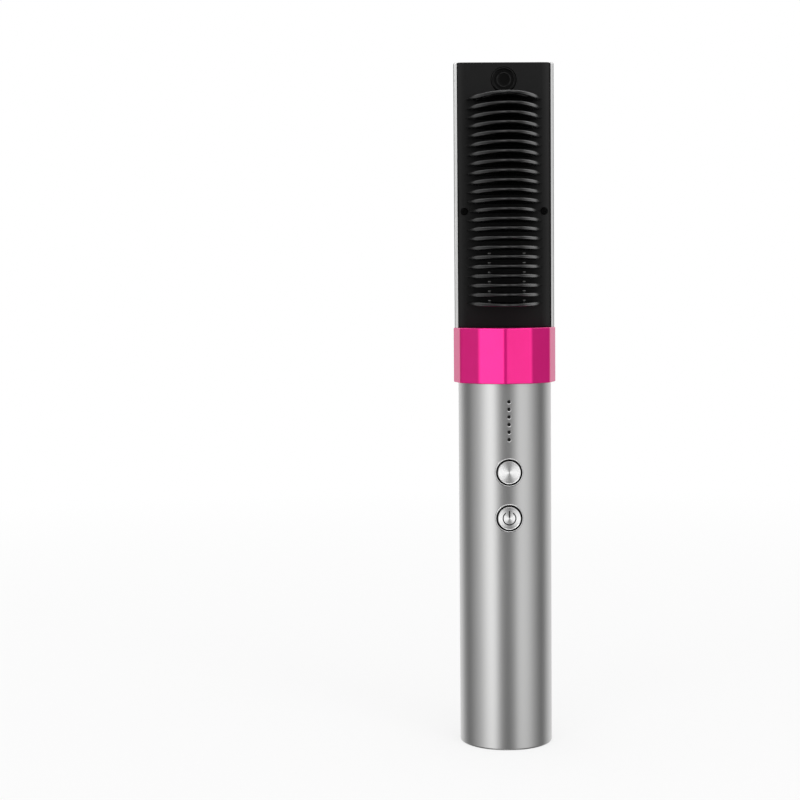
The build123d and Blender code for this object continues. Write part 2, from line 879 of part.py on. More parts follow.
def clamp_screws():
    seat = mica_back + strap_thick
    length = strap_thick + strap_screw_length - 2 * slip
    return group(back_screw(seat, length, side * strap_x, z) for side in (-1, 1) for z in strap_z)


def thermistor():
    x = ceramic_half + probe_play + probe_r
    half = probe_length / 2
    return post(probe_r, sensor_z - half, sensor_z + half, x, heater_back + probe_r)


def thermal_fuse():
    y = mica_back + fuse_r
    half = fuse_length / 2
    can = post(fuse_r, sensor_z - half, sensor_z + half, 0, y)
    return can + post(fuse_neck_r, sensor_z - half - fuse_tail, sensor_z + half + fuse_tail, 0, y)


def heat_shield():
    outer = head_section(cave_half - shield_gap, cave_depth - shield_gap, shield_front)
    gap = shield_gap + shield_thick
    inner = head_section(cave_half - gap, cave_depth - gap, 0)
    shield = upright(outer - inner, shield_z0, shield_z1)
    for side in (-1, 1):
        shield -= rod(post_r + shield_hole_play, 0, head_depth, side * face_screw_x, face_screw_z)
    return shield


def face_screws():
    head_y = plate_front + face_bore_depth - screw_head
    length = plate_back - head_y - screw_head + face_screw_length - 2 * slip
    return group(
        front_screw(head_y, screw_head, length, side * face_screw_x, face_screw_z) for side in (-1, 1)
    )


def badge_screw():
    head_thick = badge_head - stop_gap
    length = plate_back - badge_back - badge_head + badge_screw_length - 2 * slip
    return front_screw(badge_back + stop_gap, head_thick, length, 0, badge_z)


def badge_disc():
    """Plain cover disc with a raised rim and a dished middle."""
    front = plate_front - badge_proud
    dish = badge_r - badge_rim
    return turned_y(
        [
            (0, front + badge_dish / 2),
            (dish - badge_dish, front + badge_dish),
            (dish, front),
            (badge_r - badge_dish / 2, front),
            (badge_r, front + badge_dish / 2),
            (badge_r, badge_back),
            (0, badge_back),
        ],
        badge_z,
    )


# Leads


def lead(radius, points):
    """A round lead along straight runs joined by arcs as large as the runs allow."""
    bends = []
    for before, corner, after in zip(points, points[1:], points[2:]):
        arriving, leaving = Vector(*corner) - Vector(*before), Vector(*after) - Vector(*corner)
        half_turn = Vector(arriving).get_angle(leaving) / 2
        shorter = min(arriving.length, leaving.length)
        bends.append(lead_bend * shorter / tan(radians(half_turn)))
    print("bend radii", [round(bend, 1) for bend in bends])
    path = FilletPolyline(*points, radius=bends)
    return sweep(Plane(origin=path @ 0, z_dir=path % 0) * Circle(radius), path)


def heater_leads():
    """Two leads from the board's top, through the coupler, to the ceramic heater's lower end."""
    board_y = board_front - heater_lead_r - lead_rest
    neck_y = tongue_back + 3 * heater_lead_r
    heater_y = ceramic_back + heater_lead_r + lead_rest
    leads = []
    for side in (-1, 1):
        x = side * heater_lead_x
        points = [
            (x, board_y, board_z1 - heater_joint),
            (x, board_y, coupler_z0 + heater_turn),
            (x, neck_y, web_z0 - coupler_floor - heater_turn),
            (x, neck_y, tongue_z1 - heater_turn),
            (x, heater_y, ceramic_z0),
            (x, heater_y, ceramic_z0 + heater_tail),
        ]
        leads.append(lead(heater_lead_r, points))
    return group(leads)


def riser(x, y_start, z_start):
    """A thin lead that climbs in front of the frame and comes to lie on the main board."""
    board_y = board_front - thin_lead_r - lead_rest
    return lead(
        thin_lead_r,
        [
            (x, y_start, z_start),
            (x, y_start, board_z0 - joint_length - joint_step),
            (x, board_y, board_z0 - joint_length),
            (x, board_y, board_z0 + joint_length),
        ],
    )


def battery_lead():
    y = -frame_front - thin_lead_r - lead_rest
    return riser(0, y, tab_z0 + tab_thick)


def charge_leads():
    y = -frame_front - thin_lead_r - lead_rest
    return group(riser(side * charge_lead_x, y, usb_z1) for side in (-1, 1))


nodes = {
    "handle_tube": handle_tube(),
    "end_cap": end_cap(),
    "end_cap_screws": end_cap_screws(),
    "usb_socket_shell": usb_socket_shell(),
    "usb_socket_tongue": usb_socket_tongue(),
    "usb_board": usb_board(),
    "inner_frame": inner_frame(),
    "battery_cell": battery_cell(),
    "battery_tabs": battery_tabs(),
    "battery_lead": battery_lead(),
    "charge_leads": charge_leads(),
    "main_board": main_board(),
    "board_screws": board_screws(),
    "led_chips": led_chips(),
    "light_pipe": light_pipe(),
    "temperature_button": button(temperature_z),
    "temperature_bezel": bezel(temperature_z),
    "temperature_switch": switch_body(temperature_z),
    "temperature_plunger": switch_plunger(temperature_z),
    "power_button": button(power_z) - power_mark(),
    "power_bezel": bezel(power_z),
    "power_switch": switch_body(power_z),
    "power_plunger": switch_plunger(power_z),
    "collar_ring": collar_ring(),
    "neck_coupler": neck_coupler(),
    "coupler_screws": coupler_screws(),
    "neck_screw": neck_screw(),
    "head_shell": head_shell(),
    "face_plate": face_plate(),
    "face_screws": face_screws(),
    "badge_disc": badge_disc(),
    "badge_screw": badge_screw(),
    "guard_arches": guard_arches(),
    "heat_fins": heat_fins(),
    "heater_base": heater_base(),
    "ceramic_heater": ceramic_heater(),
    "heater_insulator": heater_insulator(),
    "heater_clamps": heater_clamps(),
    "clamp_screws": clamp_screws(),
    "thermistor": thermistor(),
    "thermal_fuse": thermal_fuse(),
    "heat_shield": heat_shield(),
    "heater_leads": heater_leads(),
}

os.makedirs("parts", exist_ok=True)
for name, piece in nodes.items():
    export_step(piece, f"parts/{name}.step")
    print(name, len(piece.solids()), "solids", round(piece.volume), "mm3")
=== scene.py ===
# Cordless hot comb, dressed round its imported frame. Metres, +Z up, the comb's front towards -Y.
import math

import bmesh
import bpy
from mathutils import Matrix, Vector


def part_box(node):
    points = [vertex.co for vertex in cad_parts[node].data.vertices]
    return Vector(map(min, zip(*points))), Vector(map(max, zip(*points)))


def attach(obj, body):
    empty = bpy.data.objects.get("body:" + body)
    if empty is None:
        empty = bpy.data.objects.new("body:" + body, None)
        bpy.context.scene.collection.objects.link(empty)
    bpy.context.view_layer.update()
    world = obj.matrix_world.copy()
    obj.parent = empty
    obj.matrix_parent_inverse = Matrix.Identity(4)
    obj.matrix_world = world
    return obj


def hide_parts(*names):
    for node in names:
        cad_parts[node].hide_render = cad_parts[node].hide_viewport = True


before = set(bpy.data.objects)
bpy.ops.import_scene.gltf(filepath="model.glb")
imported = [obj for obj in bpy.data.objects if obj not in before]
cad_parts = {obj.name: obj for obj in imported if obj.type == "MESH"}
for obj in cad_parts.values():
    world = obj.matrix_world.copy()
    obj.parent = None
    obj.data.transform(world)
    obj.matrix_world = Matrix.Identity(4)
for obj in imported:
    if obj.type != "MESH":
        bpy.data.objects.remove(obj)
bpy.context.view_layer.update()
mm = 0.001
bpy.ops.object.select_all(action="DESELECT")
print("frame loaded")

# Camera

cameraPlace = {
    "distance": 701.0 * mm,  # from the handle's axis
    "azimuth": -5.21,  # degrees, towards the comb's own left
    "height": 185.5 * mm,
    "pan": 3.53,  # degrees the aim is turned left of the axis
    "tilt": -3.56,
    "roll": -0.47,
    "lens": 76.5,
}


def placeCamera(place):
    bpy.ops.object.camera_add()
    camera = bpy.context.object
    camera.name = "mainCamera"
    around = math.radians(place["azimuth"])
    aim = Matrix.Rotation(math.radians(place["azimuth"] + place["pan"]), 4, "Z")
    aim = aim @ Matrix.Rotation(math.radians(90 + place["tilt"]), 4, "X")
    aim = aim @ Matrix.Rotation(math.radians(place["roll"]), 4, "Z")
    spot = Vector((math.sin(around), -math.cos(around), 0)) * place["distance"]
    spot.z = place["height"]
    camera.matrix_world = Matrix.Translation(spot) @ aim
    camera.data.lens = place["lens"]
    camera.data.sensor_width = 36
    camera.data.clip_start = 0.01
    bpy.context.scene.camera = camera


placeCamera(cameraPlace)
print("camera placed")

# Modelling helpers


def deselectAll():
    bpy.ops.object.select_all(action="DESELECT")


def choose(*pieces):
    deselectAll()
    for piece in pieces:
        piece.select_set(True)
    bpy.context.view_layer.objects.active = pieces[0]


def editOn(piece):
    choose(piece)
    bpy.ops.object.mode_set(mode="EDIT")
    bpy.ops.mesh.select_mode(type="VERT")


def editOff():
    bpy.ops.object.mode_set(mode="OBJECT")


def near(value, target, slack=0.02 * mm):
    return abs(value - target) < slack


def allAt(part, axis, target):
    # whether an edge or a face lies wholly at one place on the axis x, y or z
    return all(near(getattr(vert.co, axis), target) for vert in part.verts)


def pick(piece, kind, test):
    # kind is verts, edges or faces; test gets each one and says whether it is wanted
    bpy.ops.mesh.select_mode(type={"verts": "VERT", "edges": "EDGE", "faces": "FACE"}[kind])
    bpy.ops.mesh.select_all(action="DESELECT")
    mesh = bmesh.from_edit_mesh(piece.data)
    for part in getattr(mesh, kind):
        if test(part):
            part.select_set(True)
    mesh.select_flush_mode()
    bmesh.update_edit_mesh(piece.data)


def pickAll():
    bpy.ops.mesh.select_all(action="SELECT")


def pull(x=0.0, y=0.0, z=0.0):
    bpy.ops.mesh.extrude_region_move(TRANSFORM_OT_translate={"value": (x, y, z)})


def stretch(x=1.0, y=1.0, z=1.0, about=(0, 0, 0)):
    bpy.ops.transform.resize(value=(x, y, z), center_override=about)


def shift(x=0.0, y=0.0, z=0.0):
    bpy.ops.transform.translate(value=(x, y, z))


def bevelPicked(width, steps):
    bpy.ops.mesh.bevel(offset=width, segments=steps, affect="EDGES")


def mergeDoubles():
    pickAll()
    bpy.ops.mesh.remove_doubles(threshold=0.001 * mm)


def faceOutwards():
    pickAll()
    bpy.ops.mesh.normals_make_consistent(inside=False)


def settle(name):
    piece = bpy.context.object
    piece.name = name
    piece.data.name = name
    bpy.ops.object.transform_apply(location=True, rotation=True, scale=True)
    return piece


def facing(along, turn=0.0):
    # the rotation that lays a new primitive's axis along Y or Z
    return (math.pi / 2, 0, 0) if along == "Y" else (0, 0, turn)


def circle(name, radius, at=(0, 0, 0), sides=96, along="Z", fill="NOTHING", turn=0.0):
    deselectAll()
    bpy.ops.mesh.primitive_circle_add(
        vertices=sides, radius=radius, location=at, rotation=facing(along, turn), fill_type=fill
    )
    return settle(name)


def block(name, low, high):
    deselectAll()
    middle = [(a + b) / 2 for a, b in zip(low, high)]
    size = [b - a for a, b in zip(low, high)]
    bpy.ops.mesh.primitive_cube_add(size=1, location=middle, scale=size)
    return settle(name)


def peg(name, radius, at, depth, along="Y", sides=48, front=None):
    # a round bar centred on at; one along Y tapers to the radius front at its end towards -Y
    deselectAll()
    bpy.ops.mesh.primitive_cone_add(
        vertices=sides,
        radius1=radius,
        radius2=radius if front is None else front,
        depth=depth,
        location=at,
        rotation=facing(along),
    )
    return settle(name)


def turned(name, rings, at=(0, 0, 0), along="Z", sides=96, closed=False):
    # rings are (radius, place along the axis); each ring is pulled out of the one before it
    axis = Vector((0, 1, 0) if along == "Y" else (0, 0, 1))
    spot = Vector(at)
    if closed:
        rings = [*rings, rings[0]]
    piece = circle(name, rings[0][0], spot + axis * rings[0][1], sides, along)
    editOn(piece)
    pickAll()
    if not closed:
        bpy.ops.mesh.edge_face_add()
        pickAll()
    for (r0, p0), (r1, p1) in zip(rings, rings[1:]):
        pull(*(axis * (p1 - p0)))
        grow = r1 / r0
        stretch(grow, 1 if along == "Y" else grow, grow if along == "Y" else 1, spot + axis * p1)
    mergeDoubles()
    faceOutwards()
    editOff()
    return piece


def modify(piece, kind, **settings):
    choose(piece)
    modifier = piece.modifiers.new(kind.lower(), kind)
    for key, value in settings.items():
        setattr(modifier, key, value)
    bpy.ops.object.modifier_apply(modifier=modifier.name)
    return piece


def soften(piece, width, steps=3, angle=35):
    limit = math.radians(angle)
    return modify(piece, "BEVEL", width=width, segments=steps, limit_method="ANGLE", angle_limit=limit)


def joined(name, pieces):
    choose(*pieces)
    if len(pieces) > 1:
        bpy.ops.object.join()
    return settle(name)


def cut(piece, cutters):
    tool = joined("cutter", cutters)
    modify(piece, "BOOLEAN", object=tool, operation="DIFFERENCE", solver="EXACT")
    bpy.data.objects.remove(tool)


def copied(piece, name, x=0.0, y=0.0, z=0.0):
    other = piece.copy()
    other.data = piece.data.copy()
    other.name = name
    other.data.name = name
    bpy.context.scene.collection.objects.link(other)
    other.data.transform(Matrix.Translation((x, y, z)))
    return other


def smooth(piece, angle=32, weighted=False):
    choose(piece)
    bpy.ops.object.shade_smooth_by_angle(angle=math.radians(angle))
    if weighted:
        modify(piece, "WEIGHTED_NORMAL", keep_sharp=True, weight=50)
    return piece


def fit(piece, finish, body="root", nodes=()):
    piece.data.materials.clear()
    piece.data.materials.append(finish)
    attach(piece, body)
    if nodes:
        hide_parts(*nodes)


def dress(finish, *nodes):
    for node in nodes:
        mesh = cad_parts[node].data
        mesh.materials.clear()
        mesh.materials.append(finish)


# Shader helpers


class Wire:
    # an output socket; sums with it add Math nodes
    def __init__(self, shading, socket):
        self.shading = shading
        self.socket = socket

    def math(self, operation, first, second):
        return self.shading.node("ShaderNodeMath", {"operation": operation}, {0: first, 1: second})

    def __add__(self, other):
        return self.math("ADD", self, other)

    def __radd__(self, other):
        return self.math("ADD", other, self)

    def __sub__(self, other):
        return self.math("SUBTRACT", self, other)

    def __rsub__(self, other):
        return self.math("SUBTRACT", other, self)

    def __mul__(self, other):
        return self.math("MULTIPLY", self, other)

    def __rmul__(self, other):
        return self.math("MULTIPLY", other, self)

    def __pow__(self, other):
        return self.math("POWER", self, other)


class Shading:
    # the node tree of a material or of the world
    def __init__(self, tree):
        self.tree = tree

    def node(self, kind, settings=None, inputs=None, output=0):
        made = self.tree.nodes.new(kind)
        for key, value in (settings or {}).items():
            if key == "stops":
                for _ in range(len(value) - 2):
                    made.color_ramp.elements.new(0.5)
                for element, (spot, tint) in zip(made.color_ramp.elements, value):
                    element.position = spot
                    element.color = tint
            else:
                setattr(made, key, value)
        for key, value in (inputs or {}).items():
            if isinstance(value, Wire):
                self.tree.links.new(value.socket, made.inputs[key])
            else:
                made.inputs[key].default_value = value
        return Wire(self, made.outputs[output])

    def surface(self, wire, outputNode):
        self.tree.links.new(wire.socket, self.tree.nodes[outputNode].inputs["Surface"])


class Finish(Shading):
    def __init__(self, name, **fixed):
        self.material = bpy.data.materials.new(name)
        self.material.use_nodes = True
        super().__init__(self.material.node_tree)
        self.shader = self.tree.nodes["Principled BSDF"]
        for key, value in fixed.items():
            self.shader.inputs[key.replace("_", " ")].default_value = value
        self.place = self.node("ShaderNodeTexCoord", output="Object")

    def moved(self, at=(0, 0, 0), scale=(1, 1, 1)):
        inputs = {"Vector": self.place, "Location": [-a * s for a, s in zip(at, scale)], "Scale": scale}
        return self.node("ShaderNodeMapping", {}, inputs)

    def split(self, vector, axes="XYZ"):
        return [self.node("ShaderNodeSeparateXYZ", {}, {"Vector": vector}, axis) for axis in axes]

    def noise(self, size, squash=(1, 1, 1), detail=3.0, rough=0.55):
        inputs = {"Vector": self.moved(scale=squash), "Scale": 1 / size, "Detail": detail, "Roughness": rough}
        return self.node("ShaderNodeTexNoise", {}, inputs)

    def blend(self, factor, low, high):
        inputs = {0: factor, 6: low, 7: high}
        return self.node("ShaderNodeMix", {"data_type": "RGBA"}, inputs, 2)

    def bump(self, height, depth):
        # depth is how far the surface moves for a height of 1
        return self.node("ShaderNodeBump", {}, {"Strength": 1.0, "Distance": depth, "Height": height})

    def feed(self, **inputs):
        for key, wire in inputs.items():
            self.tree.links.new(wire.socket, self.shader.inputs[key.replace("_", " ")])
        return self.material


def colour(red, green=None, blue=None):
    return (red, red if green is None else green, red if blue is None else blue, 1.0)


# Finishes that show; grain, cloud, spark and ripple are the sizes of their patterns

aluminiumLook = {
    "pale": (0.56, 0.56, 0.5544),
    "dull": (0.53, 0.53, 0.53),
    "rough": 0.31,
    "roughSpread": 0.05,
    "grain": 0.12 * mm,
    "depth": 0.0015 * mm,
    "cloud": 14 * mm,
}


def satinAluminium():
    look = aluminiumLook
    spread = look["roughSpread"]
    finish = Finish("satinAluminium", Metallic=1.0)
    grain = finish.noise(look["grain"], squash=(1, 1, 0.25), detail=4)
    cloud = finish.noise(look["cloud"], squash=(1, 1, 0.4))
    tint = finish.blend(cloud, colour(*look["dull"]), colour(*look["pale"]))
    rough = look["rough"] - spread / 2 + cloud * (spread / 2) + grain * spread
    return finish.feed(Base_Color=tint, Roughness=rough, Normal=finish.bump(grain, look["depth"]))


pinkLook = {
    "deep": (0.95, 0.002, 0.255),
    "pale": (1.0, 0.008, 0.3),
    "metal": 0.75,
    "level": 0.3,
    "shine": (0.35, 0.25, 0.32),
    "coat": 0.7,
    "coatRough": 0.2,
    "rough": 0.3,
    "roughSpread": 0.05,
    "grain": 0.08 * mm,
    "depth": 0.001 * mm,
    "cloud": 9 * mm,
}


def pinkAnodised():
    look = pinkLook
    finish = Finish(
        "pinkAnodised",
        Metallic=look["metal"],
        Specular_IOR_Level=look["level"],
        Specular_Tint=colour(*look["shine"]),
        Coat_Weight=look["coat"],
        Coat_Roughness=look["coatRough"],
    )
    grain = finish.noise(look["grain"], squash=(1, 1, 0.15))
    cloud = finish.noise(look["cloud"])
    tint = finish.blend(cloud, colour(*look["deep"]), colour(*look["pale"]))
    rough = look["rough"] + grain * look["roughSpread"]
    return finish.feed(Base_Color=tint, Roughness=rough, Normal=finish.bump(grain, look["depth"]))


plateLook = {
    "dark": 0.003,
    "light": 0.006,
    "level": 0.27,
    "rough": 0.3,
    "roughSpread": 0.12,
    "spark": 0.22 * mm,
    "depth": 0.012 * mm,
    "cloud": 20 * mm,
}


def mattePlate():
    look = plateLook
    finish = Finish("mattePlate", Specular_IOR_Level=look["level"])
    spark = finish.noise(look["spark"], detail=4, rough=0.6)
    cloud = finish.noise(look["cloud"])
    tint = finish.blend(cloud, colour(look["dark"]), colour(look["light"]))
    rough = look["rough"] + spark * look["roughSpread"]
    return finish.feed(Base_Color=tint, Roughness=rough, Normal=finish.bump(spark, look["depth"]))


archLook = {
    "dark": 0.009,
    "light": 0.013,
    "level": 0.5,
    "rough": 0.2,
    "ripple": 2.5 * mm,
    "rippleSpread": 0.06,
    "depth": 0.004 * mm,
    "grain": 0.15 * mm,
    "grainSpread": 0.03,
}


def glossBlack():
    look = archLook
    finish = Finish("glossBlack", Specular_IOR_Level=look["level"])
    ripple = finish.noise(look["ripple"], detail=2)
    grain = finish.noise(look["grain"], detail=2)
    tint = finish.blend(ripple, colour(look["dark"]), colour(look["light"]))
    rough = look["rough"] + ripple * look["rippleSpread"] + grain * look["grainSpread"]
    return finish.feed(Base_Color=tint, Roughness=rough, Normal=finish.bump(ripple, look["depth"]))


finLook = {
    "dark": 0.012,
    "light": 0.03,
    "metal": 0.6,
    "rough": 0.22,
    "roughSpread": 0.1,
    "grain": 0.12 * mm,
    "depth": 0.002 * mm,
}


def coatedFin():
    look = finLook
    finish = Finish("coatedFin", Metallic=look["metal"])
    grain = finish.noise(look["grain"])
    tint = finish.blend(grain, colour(look["dark"]), colour(look["light"]))
    rough = look["rough"] + grain * look["roughSpread"]
    return finish.feed(Base_Color=tint, Roughness=rough, Normal=finish.bump(grain, look["depth"]))


capLook = {
    "bright": 0.97,
    "shade": 0.84,
    "rough": 0.2,
    "roughSpread": 0.1,
    "pitch": 0.9 * mm,  # of the streaks, outwards
    "drawn": 0.25,  # how fast they change round the turn
    "scale": 6.0,
}


def spunCap(name, height):
    look = capLook
    spread = look["roughSpread"]
    finish = Finish(name, Metallic=1.0)
    across, up = finish.split(finish.moved((0, 0, height)), "XZ")
    radius = (across * across + up * up) ** 0.5
    turn = finish.node("ShaderNodeMath", {"operation": "ARCTAN2"}, {0: up, 1: across})
    # streaks that follow the tool round, from noise drawn out along the turn
    polar = {0: radius * (1 / look["pitch"]), 1: turn * look["drawn"]}
    place = finish.node("ShaderNodeCombineXYZ", {}, polar)
    inputs = {"Vector": place, "Scale": look["scale"], "Detail": 2.0}
    streak = finish.node("ShaderNodeTexNoise", {}, inputs)
    tint = finish.blend(streak, colour(look["shade"]), colour(look["bright"]))
    return finish.feed(Base_Color=tint, Roughness=look["rough"] - spread / 2 + streak * spread)


rimLook = {"dark": 0.8, "light": 0.9, "rough": 0.1, "roughSpread": 0.06, "grain": 0.3 * mm}


def polishedRim():
    look = rimLook
    finish = Finish("polishedRim", Metallic=1.0)
    grain = finish.noise(look["grain"])
    tint = finish.blend(grain, colour(look["dark"]), colour(look["light"]))
    return finish.feed(Base_Color=tint, Roughness=look["rough"] + grain * look["roughSpread"])


darkLooks = {
    # the button caps are black plastic; their dark sides in the ring round the metal face are also painted
    # shade for that deep gap
    "capBlackGapShade": {"base": 0.006, "level": 0.2, "rough": 0.45, "grain": 0.2 * mm, "depth": 0.002 * mm},
    "markPaint": {"base": 0.15, "level": 0.4, "rough": 0.45, "grain": 0.2 * mm, "depth": 0.002 * mm},
    "smokedPin": {"base": 0.004, "level": 0.5, "rough": 0.12, "grain": 0.5 * mm, "depth": 0.001 * mm},
    "badgeBlack": {"base": 0.001, "level": 0.2, "rough": 0.12, "grain": 0.18 * mm, "depth": 0.004 * mm},
    "capPlastic": {"base": 0.05, "level": 0.4, "rough": 0.5, "grain": 0.25 * mm, "depth": 0.01 * mm},
}


def darkPlastic(name):
    look = darkLooks[name]
    finish = Finish(name, Specular_IOR_Level=look["level"])
    grain = finish.noise(look["grain"], detail=4)
    tint = finish.blend(grain, colour(look["base"] * 0.8), colour(look["base"] * 1.25))
    rough = look["rough"] + grain * 0.1
    return finish.feed(Base_Color=tint, Roughness=rough, Normal=finish.bump(grain, look["depth"]))


# Finishes of what is inside


def plainFinish(name, dark, light, rough, size, depth, metal=0.0, squash=(1, 1, 1)):
    finish = Finish(name, Metallic=metal)
    grain = finish.noise(size, squash, detail=4)
    tint = finish.blend(grain, colour(*dark), colour(*light))
    spread = rough - 0.05 + grain * 0.1
    return finish.feed(Base_Color=tint, Roughness=spread, Normal=finish.bump(grain, depth))


# dark and light colour, roughness, size and depth of the grain, metal, squash of the grain
innerFinishes = {
    "platedSteel": [(0.45, 0.45, 0.44), (0.6, 0.6, 0.58), 0.3, 0.4 * mm, 0.002 * mm, 1.0],
    "springSteel": [(0.38, 0.38, 0.4), (0.52, 0.52, 0.54), 0.35, 0.5 * mm, 0.002 * mm, 1.0, (0.2, 1, 1)],
    "socketMetal": [(0.55, 0.55, 0.54), (0.68, 0.68, 0.66), 0.25, 0.6 * mm, 0.001 * mm, 1.0],
    "nickelStrip": [(0.58, 0.56, 0.5), (0.7, 0.68, 0.62), 0.3, 0.5 * mm, 0.002 * mm, 1.0],
    "solderMask": [(0.01, 0.12, 0.04), (0.02, 0.2, 0.07), 0.4, 0.8 * mm, 0.004 * mm],
    "mouldedFrame": [(0.6, 0.6, 0.57), (0.72, 0.72, 0.69), 0.55, 0.4 * mm, 0.006 * mm],
    "cellSleeve": [(0.06, 0.22, 0.5), (0.09, 0.3, 0.62), 0.35, 3 * mm, 0.01 * mm],
    "leadSilicone": [(0.45, 0.03, 0.02), (0.6, 0.05, 0.03), 0.5, 0.6 * mm, 0.004 * mm],
    "chipWhite": [(0.75, 0.75, 0.62), (0.88, 0.88, 0.76), 0.35, 0.3 * mm, 0.001 * mm],
    "switchBlack": [(0.015, 0.015, 0.015), (0.03, 0.03, 0.03), 0.5, 0.3 * mm, 0.004 * mm],
    "glassFilled": [(0.035, 0.035, 0.035), (0.07, 0.07, 0.07), 0.6, 0.5 * mm, 0.01 * mm],
    "firedCeramic": [(0.76, 0.76, 0.73), (0.88, 0.88, 0.86), 0.3, 0.7 * mm, 0.003 * mm],
    "micaSheet": [(0.42, 0.38, 0.28), (0.6, 0.55, 0.42), 0.4, 1.2 * mm, 0.01 * mm, 0.0, (1, 1, 0.4)],
    "blackCoat": [(0.015, 0.015, 0.015), (0.03, 0.03, 0.03), 0.35, 0.3 * mm, 0.003 * mm, 0.5],
}
innerNodes = {
    "platedSteel": ["end_cap_screws", "board_screws", "coupler_screws", "neck_screw", "clamp_screws"],
    "springSteel": ["heater_clamps", "thermal_fuse"],
    "socketMetal": ["usb_socket_shell"],
    "nickelStrip": ["battery_tabs"],
    "solderMask": ["usb_board", "main_board"],
    "mouldedFrame": ["inner_frame"],
    "cellSleeve": ["battery_cell"],
    "leadSilicone": ["battery_lead", "charge_leads", "heater_leads"],
    "chipWhite": ["led_chips"],
    "switchBlack": [
        "usb_socket_tongue",
        "temperature_switch",
        "power_switch",
        "temperature_plunger",
        "power_plunger",
    ],
    "glassFilled": ["neck_coupler", "heat_shield"],
    "firedCeramic": ["ceramic_heater"],
    "micaSheet": ["heater_insulator", "thermistor"],
    "blackCoat": ["heater_base"],
}
for finishName, numbers in innerFinishes.items():
    dress(plainFinish(finishName, *numbers), *innerNodes[finishName])
print("inner pieces dressed")

# Places that the pieces share, from the frame


def middleHeight(node):
    low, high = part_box(node)
    return (low.z + high.z) / 2


ringLow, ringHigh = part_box("collar_ring")
shellLow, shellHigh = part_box("head_shell")
plateLow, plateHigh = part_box("face_plate")
badgeLow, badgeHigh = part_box("badge_disc")
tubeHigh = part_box("handle_tube")[1]
handleRadius = tubeHigh.x
plateThick = 2.0 * mm  # the node's box also holds the posts behind the plate
plateFront, plateBack = plateLow.y, plateLow.y + plateThick
buttonHeights = {key: middleHeight(f"{key}_button") for key in ("temperature", "power")}

# Handle tube

tubeSet = {
    "sides": 256,
    "wall": 1.2 * mm,
    "lip": 2.0 * mm,
    "lipReach": 2.6 * mm,  # how far the turned-in foot reaches in from the bore
    "footRound": 0.8 * mm,
    "footSteps": 6,
    "spigotStep": 0.15 * mm,
    "buttonHole": 5.8 * mm,
    "dotHole": 0.65 * mm,
    "dotPitch": 3.06 * mm,
    "dotCount": 6,
    "flareBack": 0.475 * mm,  # radii and length of the cone that opens a dot's hole
    "flareFront": 1.33 * mm,
    "flareDeep": 0.6 * mm,
}
dotLow = middleHeight("light_pipe") - (tubeSet["dotCount"] - 1) / 2 * tubeSet["dotPitch"]
dotHeights = [dotLow + k * tubeSet["dotPitch"] for k in range(tubeSet["dotCount"])]


def handleTube():
    t = tubeSet
    outer, bore, corner = handleRadius, handleRadius - t["wall"], t["footRound"]
    opening, spigot = bore - t["lipReach"], outer - t["spigotStep"]
    rings = [(opening, 0)]
    for k in range(t["footSteps"] + 1):
        turn = math.pi / 2 * k / t["footSteps"]
        rings.append((outer - corner + corner * math.sin(turn), corner - corner * math.cos(turn)))
    rings += [(outer, ringLow.z), (spigot, ringLow.z), (spigot, tubeHigh.z), (bore, tubeHigh.z)]
    rings += [(bore, t["lip"]), (opening, t["lip"])]
    tube = turned("handleTube", rings, sides=t["sides"], closed=True)
    cutters = [
        peg("buttonCutter", t["buttonHole"], (0, -outer, height), outer, sides=128)
        for height in buttonHeights.values()
    ]
    for height in dotHeights:
        cutters.append(peg("dotCutter", t["dotHole"], (0, -outer, height), outer, sides=32))
    cut(tube, cutters)
    flares = []
    for height in dotHeights:
        spot = (0, -outer, height)
        flares.append(peg("flareCutter", t["flareBack"], spot, t["flareDeep"], sides=32, front=t["flareFront"]))
    cut(tube, flares)
    return smooth(tube, angle=30)


aluminium = satinAluminium()
fit(handleTube(), aluminium, nodes=["handle_tube"])
print("handle tube")

# Buttons, bezels and dots

capSet = {
    "radius": 4.8 * mm,
    "sides": 128,
    "edge": 0.3 * mm,
    "soft": 0.08 * mm,
    "flange": 0.65 * mm,
    "face": 4.58 * mm,  # the metal disc let into the cap
    "faceEdge": 0.1 * mm,
    "faceDeep": 0.4 * mm,
    "proud": 0.06 * mm,
    "grooves": 12,
    "grooveDeep": 0.049 * mm,
}
bezelSet = {
    "outer": 5.75 * mm,
    "inner": 5.25 * mm,
    "sides": 128,
    "edge": 0.14 * mm,
    "soft": 0.05 * mm,
    "deep": 2.2 * mm,
}
markSet = {
    "radius": 2.8 * mm,
    "wide": 0.45 * mm,
    "deep": 0.12 * mm,
    "gap": 70.0,  # degrees, open at the top
    "bar": 3.1 * mm,
    "paint": 0.156 * mm,  # how far the dark filling lies behind its cutter
}


def buttonCap(name, node, height):
    c = capSet
    low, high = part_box(node)
    front, back = low.y + c["proud"], high.y
    flange, flangeFront = c["radius"] + c["flange"], back - c["flange"]
    rings = [
        (c["radius"] * 0.5, front),
        (c["radius"] - c["edge"], front),
        (c["radius"], front + c["edge"]),
        (c["radius"], flangeFront),
        (flange, flangeFront),
        (flange, back),
    ]
    return soften(turned(name, rings, (0, 0, height), "Y", c["sides"]), c["soft"])


def capFace(name, node, height):
    # a disc turned in fine circles, with its grooves in the mesh
    c = capSet
    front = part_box(node)[0].y
    step = c["face"] / (c["grooves"] + 0.5)
    rings = []
    for k in range(2 * c["grooves"]):
        rings.append((step * (k + 1) / 2, front + (c["grooveDeep"] if k % 2 else 0)))
    rings.append((c["face"] - c["faceEdge"], front))
    rings += [(c["face"], front + c["faceEdge"]), (c["face"], front + c["faceDeep"])]
    return turned(name, rings, (0, 0, height), "Y", c["sides"])


